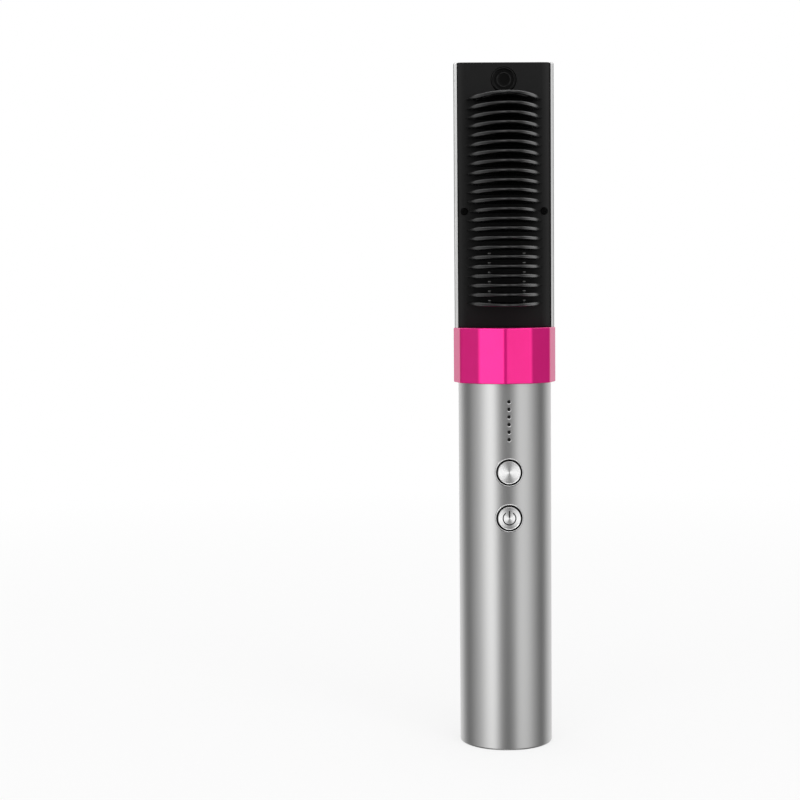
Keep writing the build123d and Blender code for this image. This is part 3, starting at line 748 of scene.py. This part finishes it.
def markCutter(height, front):
    m = markSet
    inner, wide = m["radius"] - m["wide"], m["wide"] / 2
    proud, sunk = front - m["deep"], front + m["deep"]
    rings = [(m["radius"], proud), (m["radius"], sunk), (inner, sunk), (inner, proud)]
    ring = turned("markRing", rings, (0, 0, height), "Y", closed=True)
    slope = math.tan(math.radians(m["gap"] / 2))

    def inGap(face):
        middle = face.calc_center_median()
        return middle.z > height and abs(middle.x) < slope * (middle.z - height)

    editOn(ring)
    pick(ring, "faces", inGap)
    bpy.ops.mesh.delete(type="FACE")
    pickAll()
    bpy.ops.mesh.fill_holes(sides=0)
    faceOutwards()
    editOff()
    bar = block("markBar", (-wide, proud, height + wide), (wide, sunk, height + m["bar"]))
    return joined("powerMark", [ring, bar])


def bezelRing(name, node, height):
    b = bezelSet
    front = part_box(node)[0].y
    lip, back = front + b["edge"], front + b["deep"]
    rings = [
        (b["inner"], lip),
        (b["inner"] + b["edge"], front),
        (b["outer"] - b["edge"], front),
        (b["outer"], lip),
        (b["outer"], back),
        (b["inner"], back),
    ]
    bezel = turned(name, rings, (0, 0, height), "Y", b["sides"], closed=True)
    return soften(bezel, b["soft"], steps=2, angle=30)


rimFinish = polishedRim()
# the caps' black body also paints the shade in the gap between the metal face and the bezel
capBlackGapShade = darkPlastic("capBlackGapShade")
markPaint = darkPlastic("markPaint")
for key, height in buttonHeights.items():
    body, node = f"{key}_key", f"{key}_button"
    cap = smooth(buttonCap(f"{key}Cap", node, height), weighted=True)
    fit(cap, capBlackGapShade, body, [node])
    face = capFace(f"{key}Face", node, height)
    if key == "power":
        mark = markCutter(height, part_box(node)[0].y + capSet["grooveDeep"])
        paint = copied(mark, "powerMarkPaint", y=markSet["paint"])
        cut(face, [mark])
        fit(smooth(paint), markPaint, body, [node])
    fit(smooth(face, angle=12), spunCap(f"spun{key.title()}", height), body, [node])
    bezel = smooth(bezelRing(f"{key}Bezel", f"{key}_bezel", height), angle=40)
    fit(bezel, rimFinish, nodes=[f"{key}_bezel"])
dress(darkPlastic("smokedPin"), "light_pipe")
print("buttons, bezels and dots")

# Collar ring

ringSet = {
    "sides": 12,
    "turn": -4.2,  # degrees
    "stand": 2.0 * mm,
    "corner": 0.9 * mm,
    "cornerSteps": 6,
    "edge": 0.4 * mm,
    "edgeSteps": 3,
    "web": 2.0 * mm,  # thickness of the floor between handle and head
    "webWall": 1.6 * mm,  # from the head's side to the opening in the web
}


def rise(edge):
    return abs(edge.verts[0].co.z - edge.verts[1].co.z)


def collarRing():
    s = ringSet
    turn, tall = math.radians(s["turn"]), ringHigh.z - ringLow.z
    radius = handleRadius + s["stand"]
    ring = circle("collarRing", radius, (0, 0, ringLow.z), s["sides"], fill="NGON", turn=turn)
    editOn(ring)
    pickAll()
    pull(z=tall)
    faceOutwards()
    pick(ring, "edges", lambda edge: rise(edge) > mm)
    bevelPicked(s["corner"], s["cornerSteps"])
    pick(ring, "edges", lambda edge: rise(edge) < 0.1 * mm)
    bevelPicked(s["edge"], s["edgeSteps"])
    editOff()
    bore, deep = handleRadius - tubeSet["spigotStep"], tall - s["web"]
    cut(ring, [peg("boreCutter", bore, (0, 0, ringLow.z + deep / 2 - mm), deep + 2 * mm, "Z", 128)])
    # the web's opening stays behind the face plate and its posts
    hole = peg("webCutter", shellHigh.x - s["webWall"], (0, 0, ringHigh.z), 3 * s["web"], "Z", 96)
    editOn(hole)
    pickAll()
    bpy.ops.mesh.bisect(plane_co=(0, plateHigh.y, 0), plane_no=(0, 1, 0), clear_inner=True, use_fill=True)
    editOff()
    cut(ring, [hole])
    return smooth(ring, weighted=True)


fit(collarRing(), pinkAnodised(), nodes=["collar_ring"])
print("collar ring")

# Head shell

shellSet = {
    "sides": 160,
    "wall": 1.3 * mm,
    "topRound": 0.8 * mm,
    "topSteps": 5,
    "rimSlope": 0.17 * mm,
    "rimRound": 0.7 * mm,
    "rimSteps": 6,
    "innerRound": 0.07 * mm,
    "notch": 5 * mm,  # how far the face plate's opening runs down from the top
}


def headPrism(name, half, depth, front, low, high):
    # half an ellipse behind the axis and straight cheeks in front of it, filled and drawn up
    prism = circle(name, half, (0, 0, low), shellSet["sides"])
    editOn(prism)
    pick(prism, "verts", lambda vert: vert.co.y < -0.01 * mm)
    bpy.ops.mesh.delete(type="VERT")
    pickAll()
    stretch(1, depth / half, 1)
    pick(prism, "verts", lambda vert: near(vert.co.y, 0))
    pull(y=front)
    pickAll()
    bpy.ops.mesh.edge_face_add()
    pickAll()
    pull(z=high - low)
    faceOutwards()
    editOff()
    return prism


def headShell():
    s = shellSet
    half, depth, rim = shellHigh.x, shellHigh.y, shellLow.y
    low, top, lip, cave = shellLow.z, shellHigh.z, rim + s["rimSlope"], half - s["wall"]
    shell = headPrism("headShell", half, depth, lip, low, top)
    editOn(shell)
    pick(shell, "edges", lambda edge: allAt(edge, "z", top) and not allAt(edge, "y", lip))
    bevelPicked(s["topRound"], s["topSteps"])
    pick(shell, "edges", lambda edge: allAt(edge, "y", lip) and not allAt(edge, "z", low))
    bevelPicked(s["rimRound"], s["rimSteps"])
    editOff()
    cut(shell, [headPrism("caveCutter", cave, depth - s["wall"], rim - mm, low - mm, top - s["wall"])])
    cut(shell, [block("notchCutter", (-cave, rim - mm, top - s["notch"]), (cave, plateBack, top + mm))])
    # the rim's inner edge comes forward to the node's front
    editOn(shell)
    pick(shell, "verts", lambda vert: near(abs(vert.co.x), cave) and near(vert.co.y, lip))
    shift(y=-s["rimSlope"])
    editOff()
    soften(shell, s["innerRound"], steps=2, angle=50)
    return smooth(shell, angle=34, weighted=True)


fit(headShell(), aluminium, nodes=["head_shell"])
print("head shell")

# Face plate

plateSet = {
    "corner": 0.8 * mm,
    "cornerSteps": 5,
    "groove": 0.3 * mm,  # wide, all round the plate
    "grooveDeep": 0.6 * mm,
    "edge": 0.08 * mm,
    "bowFrom": 15.2 * mm,  # the plate falls back outside this
    "bow": 0.55 * mm,
    "bowSteps": 5,
    "screwX": 16.3 * mm,
    "screwHole": 1.58 * mm,
    "screwDeep": 1.5 * mm,
    "badgePlay": 0.1 * mm,
    "badgeDrop": 0.5 * mm,  # below the middle of the badge's node
    "slotHalf": 10.75 * mm,
    "slotThick": 1.7 * mm,
}
rowSet = {"pitch": 3.785 * mm, "count": 23, "narrowRow": 12}  # the narrow one is beside the screws
rowTop = middleHeight("heat_fins") + rowSet["pitch"] * (rowSet["count"] - 1) / 2
rowHeights = [rowTop - rowSet["pitch"] * k for k in range(rowSet["count"])]
screwHeight = rowHeights[rowSet["narrowRow"]]
badgeHeight = middleHeight("badge_disc") - plateSet["badgeDrop"]
badgeRadius = badgeHigh.x


def bowSides(plate):
    p = plateSet
    wide = plateHigh.x - p["bowFrom"]
    for side in (-1, 1):
        for k in range(p["bowSteps"]):
            pickAll()
            spot = side * (p["bowFrom"] + wide * k / p["bowSteps"])
            bpy.ops.mesh.bisect(plane_co=(spot, 0, 0), plane_no=(1, 0, 0))
    columns = {round(abs(vert.co.x), 6) for vert in bmesh.from_edit_mesh(plate.data).verts}
    for out in sorted(columns):
        if out > p["bowFrom"]:
            pick(
                plate,
                "verts",
                lambda vert: near(abs(vert.co.x), out, 0.001 * mm) and vert.co.y < plateBack - 0.1 * mm,
            )
            shift(y=p["bow"] * ((out - p["bowFrom"]) / wide) ** 2)


def plateCutters():
    p = plateSet
    screwMiddle = plateFront + (p["screwDeep"] - mm) / 2
    cutters = [
        peg("screwCutter", p["screwHole"], (side * p["screwX"], screwMiddle, screwHeight), p["screwDeep"] + mm)
        for side in (-1, 1)
    ]
    badgeDeep = badgeHigh.y - plateFront
    spot = (0, badgeHigh.y - (badgeDeep + mm) / 2, badgeHeight)
    cutters.append(peg("badgeCutter", badgeRadius + p["badgePlay"], spot, badgeDeep + mm, sides=96))
    for height in rowHeights:
        low = (-p["slotHalf"], plateFront - mm, height - p["slotThick"] / 2)
        high = (p["slotHalf"], plateBack + mm, height + p["slotThick"] / 2)
        cutters.append(block("slotCutter", low, high))
    return cutters


def facePlate():
    p = plateSet
    ledge, top = plateFront + p["grooveDeep"], plateHigh.z
    plate = block("facePlate", (plateLow.x, ledge, plateLow.z), (plateHigh.x, plateBack, top))
    editOn(plate)
    pick(plate, "edges", lambda edge: allAt(edge, "z", top) and near(edge.verts[0].co.x, edge.verts[1].co.x))
    bevelPicked(p["corner"], p["cornerSteps"])
    pick(plate, "faces", lambda face: face.normal.y < -0.9)
    bpy.ops.mesh.inset(thickness=p["groove"])
    pull(y=plateFront - ledge)
    pick(plate, "edges", lambda edge: allAt(edge, "y", plateFront))
    bevelPicked(p["edge"], steps=1)
    bowSides(plate)
    editOff()
    cut(plate, plateCutters())
    return smooth(plate, angle=34, weighted=True)


fit(facePlate(), mattePlate(), nodes=["face_plate"])
print("face plate")

# Comb rows

archSet = {
    "half": 15.6 * mm,
    "narrowHalf": 14.6 * mm,
    "leg": 2.4 * mm,  # width of its section at the plate, and at the crown
    "crown": 3.2 * mm,
    "reach": 24.5 * mm,
    "root": 2.3 * mm,  # heights of its section at the plate, at the crown and at the very ends
    "tip": 1.1 * mm,
    "point": 0.5 * mm,
    "pointRun": 4.2 * mm,  # how far from the ends it thins
    "ends": {0: (0.7, 0), 22: (-1.8, 0.4 * mm)},  # the first and last row: degrees of lean, and lift
    "round": 34,  # percent of the section, at each edge
    "roundSteps": 4,
    "columns": 96,
}
finSet = {
    "inset": 3.2 * mm,  # from an arch's end to its fin's
    "stand": 0.2 * mm,  # in front of the plate
    "root": 1.4 * mm,
    "tip": 0.7 * mm,
    "gap": 0.3 * mm,  # behind the arch's crown
    "tab": 10.6 * mm,  # half its width
    "tabLap": 0.1 * mm,  # how far the tab runs into the fin
    "round": 0.24 * mm,
    "roundSteps": 2,
    "columns": 64,
}
sharpTurn = 0.9  # radians between two faces whose edge is rounded


def bowedRow(name, outer, inner, foot, thick, columns, point=0.0):
    # a flat bar bent to a parabola; outer and inner are (half width, y of the crown) and end at foot
    (half, tipY), (innerHalf, innerY) = outer, inner
    root, tip = thick
    middle = (0, (tipY + innerY) / 2, 0)
    deselectAll()
    bpy.ops.mesh.primitive_grid_add(x_subdivisions=columns, y_subdivisions=1, size=1, location=middle)
    bpy.context.object.scale = (2 * half, innerY - tipY, 1)
    row = settle(name)
    editOn(row)
    pick(row, "verts", lambda vert: near(vert.co.y, innerY))
    stretch(innerHalf / half)
    pickAll()
    shift(z=-root / 2)
    pull(z=root)
    faceOutwards()
    fine = 0.01 * mm
    for k in range(columns // 2 + 1):
        share = 2 * k / columns
        for wide, crown in (outer, inner):
            out = wide * share
            fall = (foot - crown) * share**2
            thin = 1 + (tip / root - 1) * (plateFront - crown - fall) / (plateFront - tipY)
            if point:
                run = max(out - half + archSet["pointRun"], 0) / archSet["pointRun"]
                thin = min(thin, 1 + (point / root - 1) * run)
            pick(
                row, "verts", lambda vert: near(abs(vert.co.x), out, fine) and near(vert.co.y, crown, fine)
            )
            shift(y=fall)
            stretch(1, 1, thin)
    mergeDoubles()
    editOff()
    return row


def sharpInFront(edge):
    turn = edge.calc_face_angle(0) if len(edge.link_faces) == 2 else 0
    return turn > sharpTurn and not allAt(edge, "y", plateFront)


def guardArch(name, half):
    a = archSet
    tipY = plateFront - a["reach"]
    inner = (half - a["leg"], tipY + a["crown"])
    thick = (a["root"], a["tip"])
    arch = bowedRow(name, (half, tipY), inner, plateFront, thick, a["columns"], a["point"])
    editOn(arch)
    pick(arch, "edges", sharpInFront)
    rounding = {"offset_type": "PERCENT", "offset_pct": a["round"], "segments": a["roundSteps"]}
    bpy.ops.mesh.bevel(affect="EDGES", **rounding)
    editOff()
    return smooth(arch, angle=50)


def heatFin(name, archHalf):
    f = finSet
    tipY = plateFront - archSet["reach"] + archSet["crown"] + f["gap"]
    foot = plateFront - f["stand"]
    half, thick = archHalf - f["inset"], f["root"] / 2
    fin = bowedRow(name, (half, tipY), (half, foot), foot, (f["root"], f["tip"]), f["columns"])
    editOn(fin)
    pick(fin, "edges", lambda edge: sharpInFront(edge) and not allAt(edge, "y", foot))
    bevelPicked(f["round"], f["roundSteps"])
    editOff()
    tab = block("finTab", (-f["tab"], foot - f["tabLap"], -thick), (f["tab"], plateBack, thick))
    return smooth(joined(name, [fin, tab]), angle=40)


archFinish = glossBlack()
finFinish = coatedFin()
halves = {"wide": archSet["half"], "narrow": archSet["narrowHalf"]}
archPatterns = {key: guardArch(f"{key}Arch", half) for key, half in halves.items()}
finPatterns = {key: heatFin(f"{key}Fin", half) for key, half in halves.items()}
for k, height in enumerate(rowHeights):
    key = "narrow" if k == rowSet["narrowRow"] else "wide"
    arch = copied(archPatterns[key], f"guardArch{k + 1:02d}", z=height)
    lean, lift = archSet["ends"].get(k, (0, 0))
    if lean:
        foot = (0, plateFront, height)
        editOn(arch)
        pickAll()
        bpy.ops.transform.rotate(value=math.radians(lean), orient_axis="X", center_override=foot)
        shift(z=lift)
        editOff()
    fit(arch, archFinish, nodes=["guard_arches"])
    fin = copied(finPatterns[key], f"heatFin{k + 1:02d}", z=height)
    fit(fin, finFinish, nodes=["heat_fins"])
for pattern in (*archPatterns.values(), *finPatterns.values()):
    bpy.data.objects.remove(pattern)
print("comb rows")

# Badge and face screws

badgeSet = {
    "edge": 0.4 * mm,
    "rim": 0.55 * mm,
    "rimSlope": 0.15 * mm,
    "dish": 0.25 * mm,
    "soft": 0.05 * mm,
    "ring": 2.9 * mm,
    "ringWide": 0.25 * mm,
    "ringHigh": 0.12 * mm,
    "ticks": 28,
    "tickFrom": 3.2 * mm,
    "tickTo": 3.95 * mm,
    "tickWide": 0.26 * mm,
    "tickHigh": 0.1 * mm,
    "tickSunk": 0.1 * mm,
    "tickSoft": 0.04 * mm,
}
screwSet = {
    "sides": 48,
    # (radius, how far behind its front)
    "profile": [(1.0875 * mm, 0), (1.3775 * mm, 0.12 * mm), (1.45 * mm, 0.35 * mm), (1.45 * mm, 0.9 * mm)],
    "cross": 2.0 * mm,
    "crossWide": 0.45 * mm,
    "crossDeep": 0.5 * mm,
}
# the face screws are dark metal, made darker still as painted shade for the deep holes they sit in
screwLook = {
    "dark": (0.004, 0.004, 0.004),
    "light": (0.012, 0.012, 0.012),
    "rough": 0.4,
    "size": 0.3 * mm,
    "depth": 0.002 * mm,
    "metal": 1.0,
}


def badgeDisc():
    # a plain round badge: a rim, a ring and a circle of short ticks
    b = badgeSet
    front, back = badgeLow.y, badgeHigh.y
    floor = front + b["dish"]
    dish = badgeRadius - b["edge"] - b["rim"]
    rings = [
        (b["ring"] * 0.4, floor),
        (b["ring"] - b["ringWide"], floor),
        (b["ring"] - b["ringWide"] / 2, floor - b["ringHigh"]),
        (b["ring"], floor),
        (dish, floor),
        (dish + b["rimSlope"], front),
        (badgeRadius - b["edge"], front),
        (badgeRadius, front + b["edge"]),
        (badgeRadius, back),
    ]
    badge = turned("badgeDisc", rings, (0, 0, badgeHeight), "Y")
    soften(badge, b["soft"], steps=2, angle=25)
    half = b["tickWide"] / 2
    low = (b["tickFrom"], floor - b["tickHigh"], badgeHeight - half)
    high = (b["tickTo"], floor + b["tickSunk"], badgeHeight + half)
    tick = soften(block("badgeTick", low, high), b["tickSoft"], steps=1)
    lift = Matrix.Translation((0, 0, badgeHeight))
    ticks = []
    for k in range(b["ticks"]):
        ticks.append(copied(tick, f"badgeTick{k}"))
        turn = Matrix.Rotation(2 * math.pi * k / b["ticks"], 4, "Y")
        ticks[-1].data.transform(lift @ turn @ lift.inverted())
    bpy.data.objects.remove(tick)
    return smooth(joined("badgeDisc", [badge, *ticks]), angle=40)


def crossScrew(name, x, y, z):
    s = screwSet
    rings = [(radius, y + deep) for radius, deep in s["profile"]]
    screw = turned(name, rings, (x, 0, z), "Y", s["sides"])
    long, wide, deep = s["cross"] / 2, s["crossWide"] / 2, s["crossDeep"]
    for a, b in ((long, wide), (wide, long)):
        cut(screw, [block("crossCutter", (x - a, y - deep, z - b), (x + a, y + deep, z + b))])
    return smooth(screw, angle=35)


fit(badgeDisc(), darkPlastic("badgeBlack"), nodes=["badge_disc"])
# the screws' near-black finish partly paints the shade inside their holes
screwFinish = plainFinish("blackScrewHoleShade", **screwLook)
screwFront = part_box("face_screws")[0].y
for side, letter in ((-1, "L"), (1, "R")):
    screw = crossScrew(f"faceScrew{letter}", side * plateSet["screwX"], screwFront, screwHeight)
    fit(screw, screwFinish, nodes=["face_screws"])
dress(screwFinish, "badge_screw")
print("badge and screws")

# Spacer pins on the lowest fins

pinSet = {
    "x": 7.0 * mm,
    "out": 9.9 * mm,  # in front of the plate
    "fins": 6,
    "sides": 24,
    # (radius, height over the fin's middle)
    "shank": [(0.4 * mm, 0.4 * mm), (0.4 * mm, 1.42 * mm)],
    "head": [(0.4 * mm, 1.4 * mm), (0.66 * mm, 1.5 * mm), (0.66 * mm, 1.66 * mm), (0.462 * mm, 1.8 * mm)],
}
pinLook = {
    "dark": (0.26, 0.26, 0.255),
    "light": (0.34, 0.34, 0.33),
    "rough": 0.3,
    "size": 0.2 * mm,
    "depth": 0.001 * mm,
    "metal": 1.0,
}


def finPins(name, rings):
    s = pinSet
    pattern = turned("pinPattern", rings, (0, plateFront - s["out"], 0), sides=s["sides"])
    pins = []
    for side in (-1, 1):
        for height in rowHeights[-s["fins"] :]:
            pins.append(copied(pattern, "pinCopy", x=side * s["x"], z=height))
    bpy.data.objects.remove(pattern)
    return smooth(joined(name, pins), angle=40)


fit(finPins("pinHeads", pinSet["head"]), plainFinish("pinSteel", **pinLook))
fit(finPins("pinShanks", pinSet["shank"]), finFinish)
print("spacer pins")

# End cap


def softenedCopy(name, node):
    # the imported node's own shape, merged and shaded smooth
    piece = copied(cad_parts[node], name)
    piece.parent = None
    for key in list(piece.keys()):
        if key.startswith("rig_"):
            del piece[key]
    editOn(piece)
    mergeDoubles()
    editOff()
    return smooth(piece, angle=35)


fit(softenedCopy("endCap", "end_cap"), darkPlastic("capPlastic"), nodes=["end_cap"])
print("end cap")

# Stage: floor, lamps, screen and world

floorSet = {
    "size": 6.0,
    "colour": 0.9,
    "cloud": 0.6,
    "shadow": 0.3,  # how much of it the camera sees at the comb's foot
    "fadeFrom": 0.15,
    "fadeTo": 0.9,
}


def stageFloor():
    s = floorSet
    deselectAll()
    bpy.ops.mesh.primitive_plane_add(size=s["size"], location=(0, 0, 0))
    floor = settle("floor")
    finish = Finish("floorWhite", Roughness=0.9, Specular_IOR_Level=0.1)
    cloud = finish.noise(s["cloud"])
    finish.feed(Base_Color=finish.blend(cloud, colour(s["colour"]), colour(s["colour"] * 1.03)))
    # the camera sees the floor's shadow fade out into plain white
    far = finish.node("ShaderNodeVectorMath", {"operation": "LENGTH"}, {0: finish.place}, 1)
    fade = {"Value": far, "From Min": s["fadeFrom"], "From Max": s["fadeTo"], "To Min": 1 - s["shadow"]}
    white = finish.node("ShaderNodeMapRange", {}, fade)
    camera = finish.node("ShaderNodeLightPath", output="Is Camera Ray")
    glow = finish.node("ShaderNodeEmission", {}, {"Color": colour(1.0), "Strength": 1.0})
    body = Wire(finish, finish.shader.outputs[0])
    mixed = finish.node("ShaderNodeMixShader", {}, {0: white * camera, 1: body, 2: glow})
    finish.surface(mixed, "Material Output")
    floor.data.materials.append(finish.material)
    floor.visible_glossy = False


lampSet = {
    # level of the lamp's own brightness, width, height, place; the top panel alone shows in reflections
    "leftLamp": (1.5, 0.5, 1.4, (-0.85, -1.15, 0.3)),
    "rightLamp": (1.1, 0.5, 1.4, (0.75, -1.2, 0.3)),
    "topPanel": (1.6, 0.8, 0.5, (0.1, -0.5, 1.05)),
}
lampAim = Vector((0, 0, 0.15))


def stageLamps():
    for name, (level, wide, high, place) in lampSet.items():
        turn = (lampAim - Vector(place)).to_track_quat("-Z", "Y").to_euler()
        bpy.ops.object.light_add(type="AREA", location=place, rotation=turn)
        lamp = bpy.context.object
        lamp.name = name
        lamp.data.shape = "RECTANGLE"
        lamp.data.size = wide
        lamp.data.size_y = high
        lamp.data.energy = level * math.pi * wide * high
        lamp.visible_glossy = name == "topPanel"


screenSet = {
    "radius": 1.3,
    "low": -4.0,
    "high": 1.5,
    "scale": 2.0,
    # heights and how much brighter or darker the screen is there; 1 where upright metal sees it
    "lifts": [(-2.4, 0.05), (-1.3, 0.25), (-0.75, 0.75), (-0.45, 1.0), (0.45, 1.0), (0.8, 1.7), (1.5, 1.9)],
    # azimuths from the camera's direction and how bright the studio is there, as metal shows it
    "levels": [
        (-180, 1.15),
        (-142, 1.0),
        (-124, 0.5),
        (-112, 0.24),
        (-98, 0.22),
        (-86, 0.46),
        (-66, 0.72),
        (-54, 1.1),
        (-42, 1.55),
        (-29, 1.8),
        (-19, 0.85),
        (-10, 0.36),
        (2, 0.2),
        (14, 0.26),
        (24, 0.55),
        (32, 1.15),
        (44, 1.1),
        (58, 1.0),
        (72, 0.62),
        (86, 0.36),
        (98, 0.16),
        (110, 0.24),
        (124, 0.7),
        (140, 0.95),
        (180, 1.15),
    ],
}


def stageScreen():
    # a round studio screen that only reflections see
    s = screenSet
    tall = s["high"] - s["low"]
    deselectAll()
    bpy.ops.mesh.primitive_cylinder_add(
        vertices=180,
        radius=s["radius"],
        depth=tall,
        end_fill_type="NOTHING",
        location=(0, 0, (s["high"] + s["low"]) / 2),
    )
    screen = settle("studioScreen")
    finish = Finish(
        "screenGlow",
        Base_Color=colour(0.0),
        Roughness=1.0,
        Specular_IOR_Level=0.0,
        Emission_Strength=2 * s["scale"],
    )
    across, deep, up = finish.split(finish.place)
    turn = finish.node("ShaderNodeMath", {"operation": "ARCTAN2"}, {0: across, 1: 0 - deep})
    around = (turn - math.radians(cameraPlace["azimuth"])) * (0.5 / math.pi) + 0.5
    share = finish.node("ShaderNodeMath", {"operation": "FRACT"}, {0: around})
    stops = [(angle / 360 + 0.5, colour(level / s["scale"])) for angle, level in s["levels"]]
    glow = finish.node("ShaderNodeValToRGB", {"stops": stops}, {0: share})
    stops = [((spot - s["low"]) / tall, colour(lift / 2)) for spot, lift in s["lifts"]]
    lift = finish.node("ShaderNodeValToRGB", {"stops": stops}, {0: (up - s["low"]) * (1 / tall)})
    screen.data.materials.append(finish.feed(Emission_Color=finish.blend(lift, colour(0.0), glow)))
    for ray in ("camera", "diffuse", "transmission", "volume_scatter", "shadow"):
        setattr(screen, f"visible_{ray}", False)


worldSet = {"ambient": 0.8, "background": 1.0}


def stageWorld():
    world = bpy.data.worlds.new("studioWorld")
    bpy.context.scene.world = world
    world.use_nodes = True
    studio = Shading(world.node_tree)
    studio.tree.nodes.remove(studio.tree.nodes["Background"])
    rays = ("Is Camera Ray", "Is Glossy Ray", "Is Transmission Ray")
    camera, glossy, passing = [studio.node("ShaderNodeLightPath", output=ray) for ray in rays]
    clamped = {"operation": "ADD", "use_clamp": True}
    seen = studio.node("ShaderNodeMath", clamped, {0: camera + glossy, 1: passing})
    ambient, white = [
        studio.node("ShaderNodeBackground", {}, {"Color": colour(1.0), "Strength": strength})
        for strength in (worldSet["ambient"], worldSet["background"])
    ]
    mixed = studio.node("ShaderNodeMixShader", {}, {0: seen, 1: ambient, 2: white})
    studio.surface(mixed, "World Output")


stageFloor()
stageLamps()
stageScreen()
stageWorld()
bpy.context.scene.view_settings.view_transform = "Standard"
print("stage set")
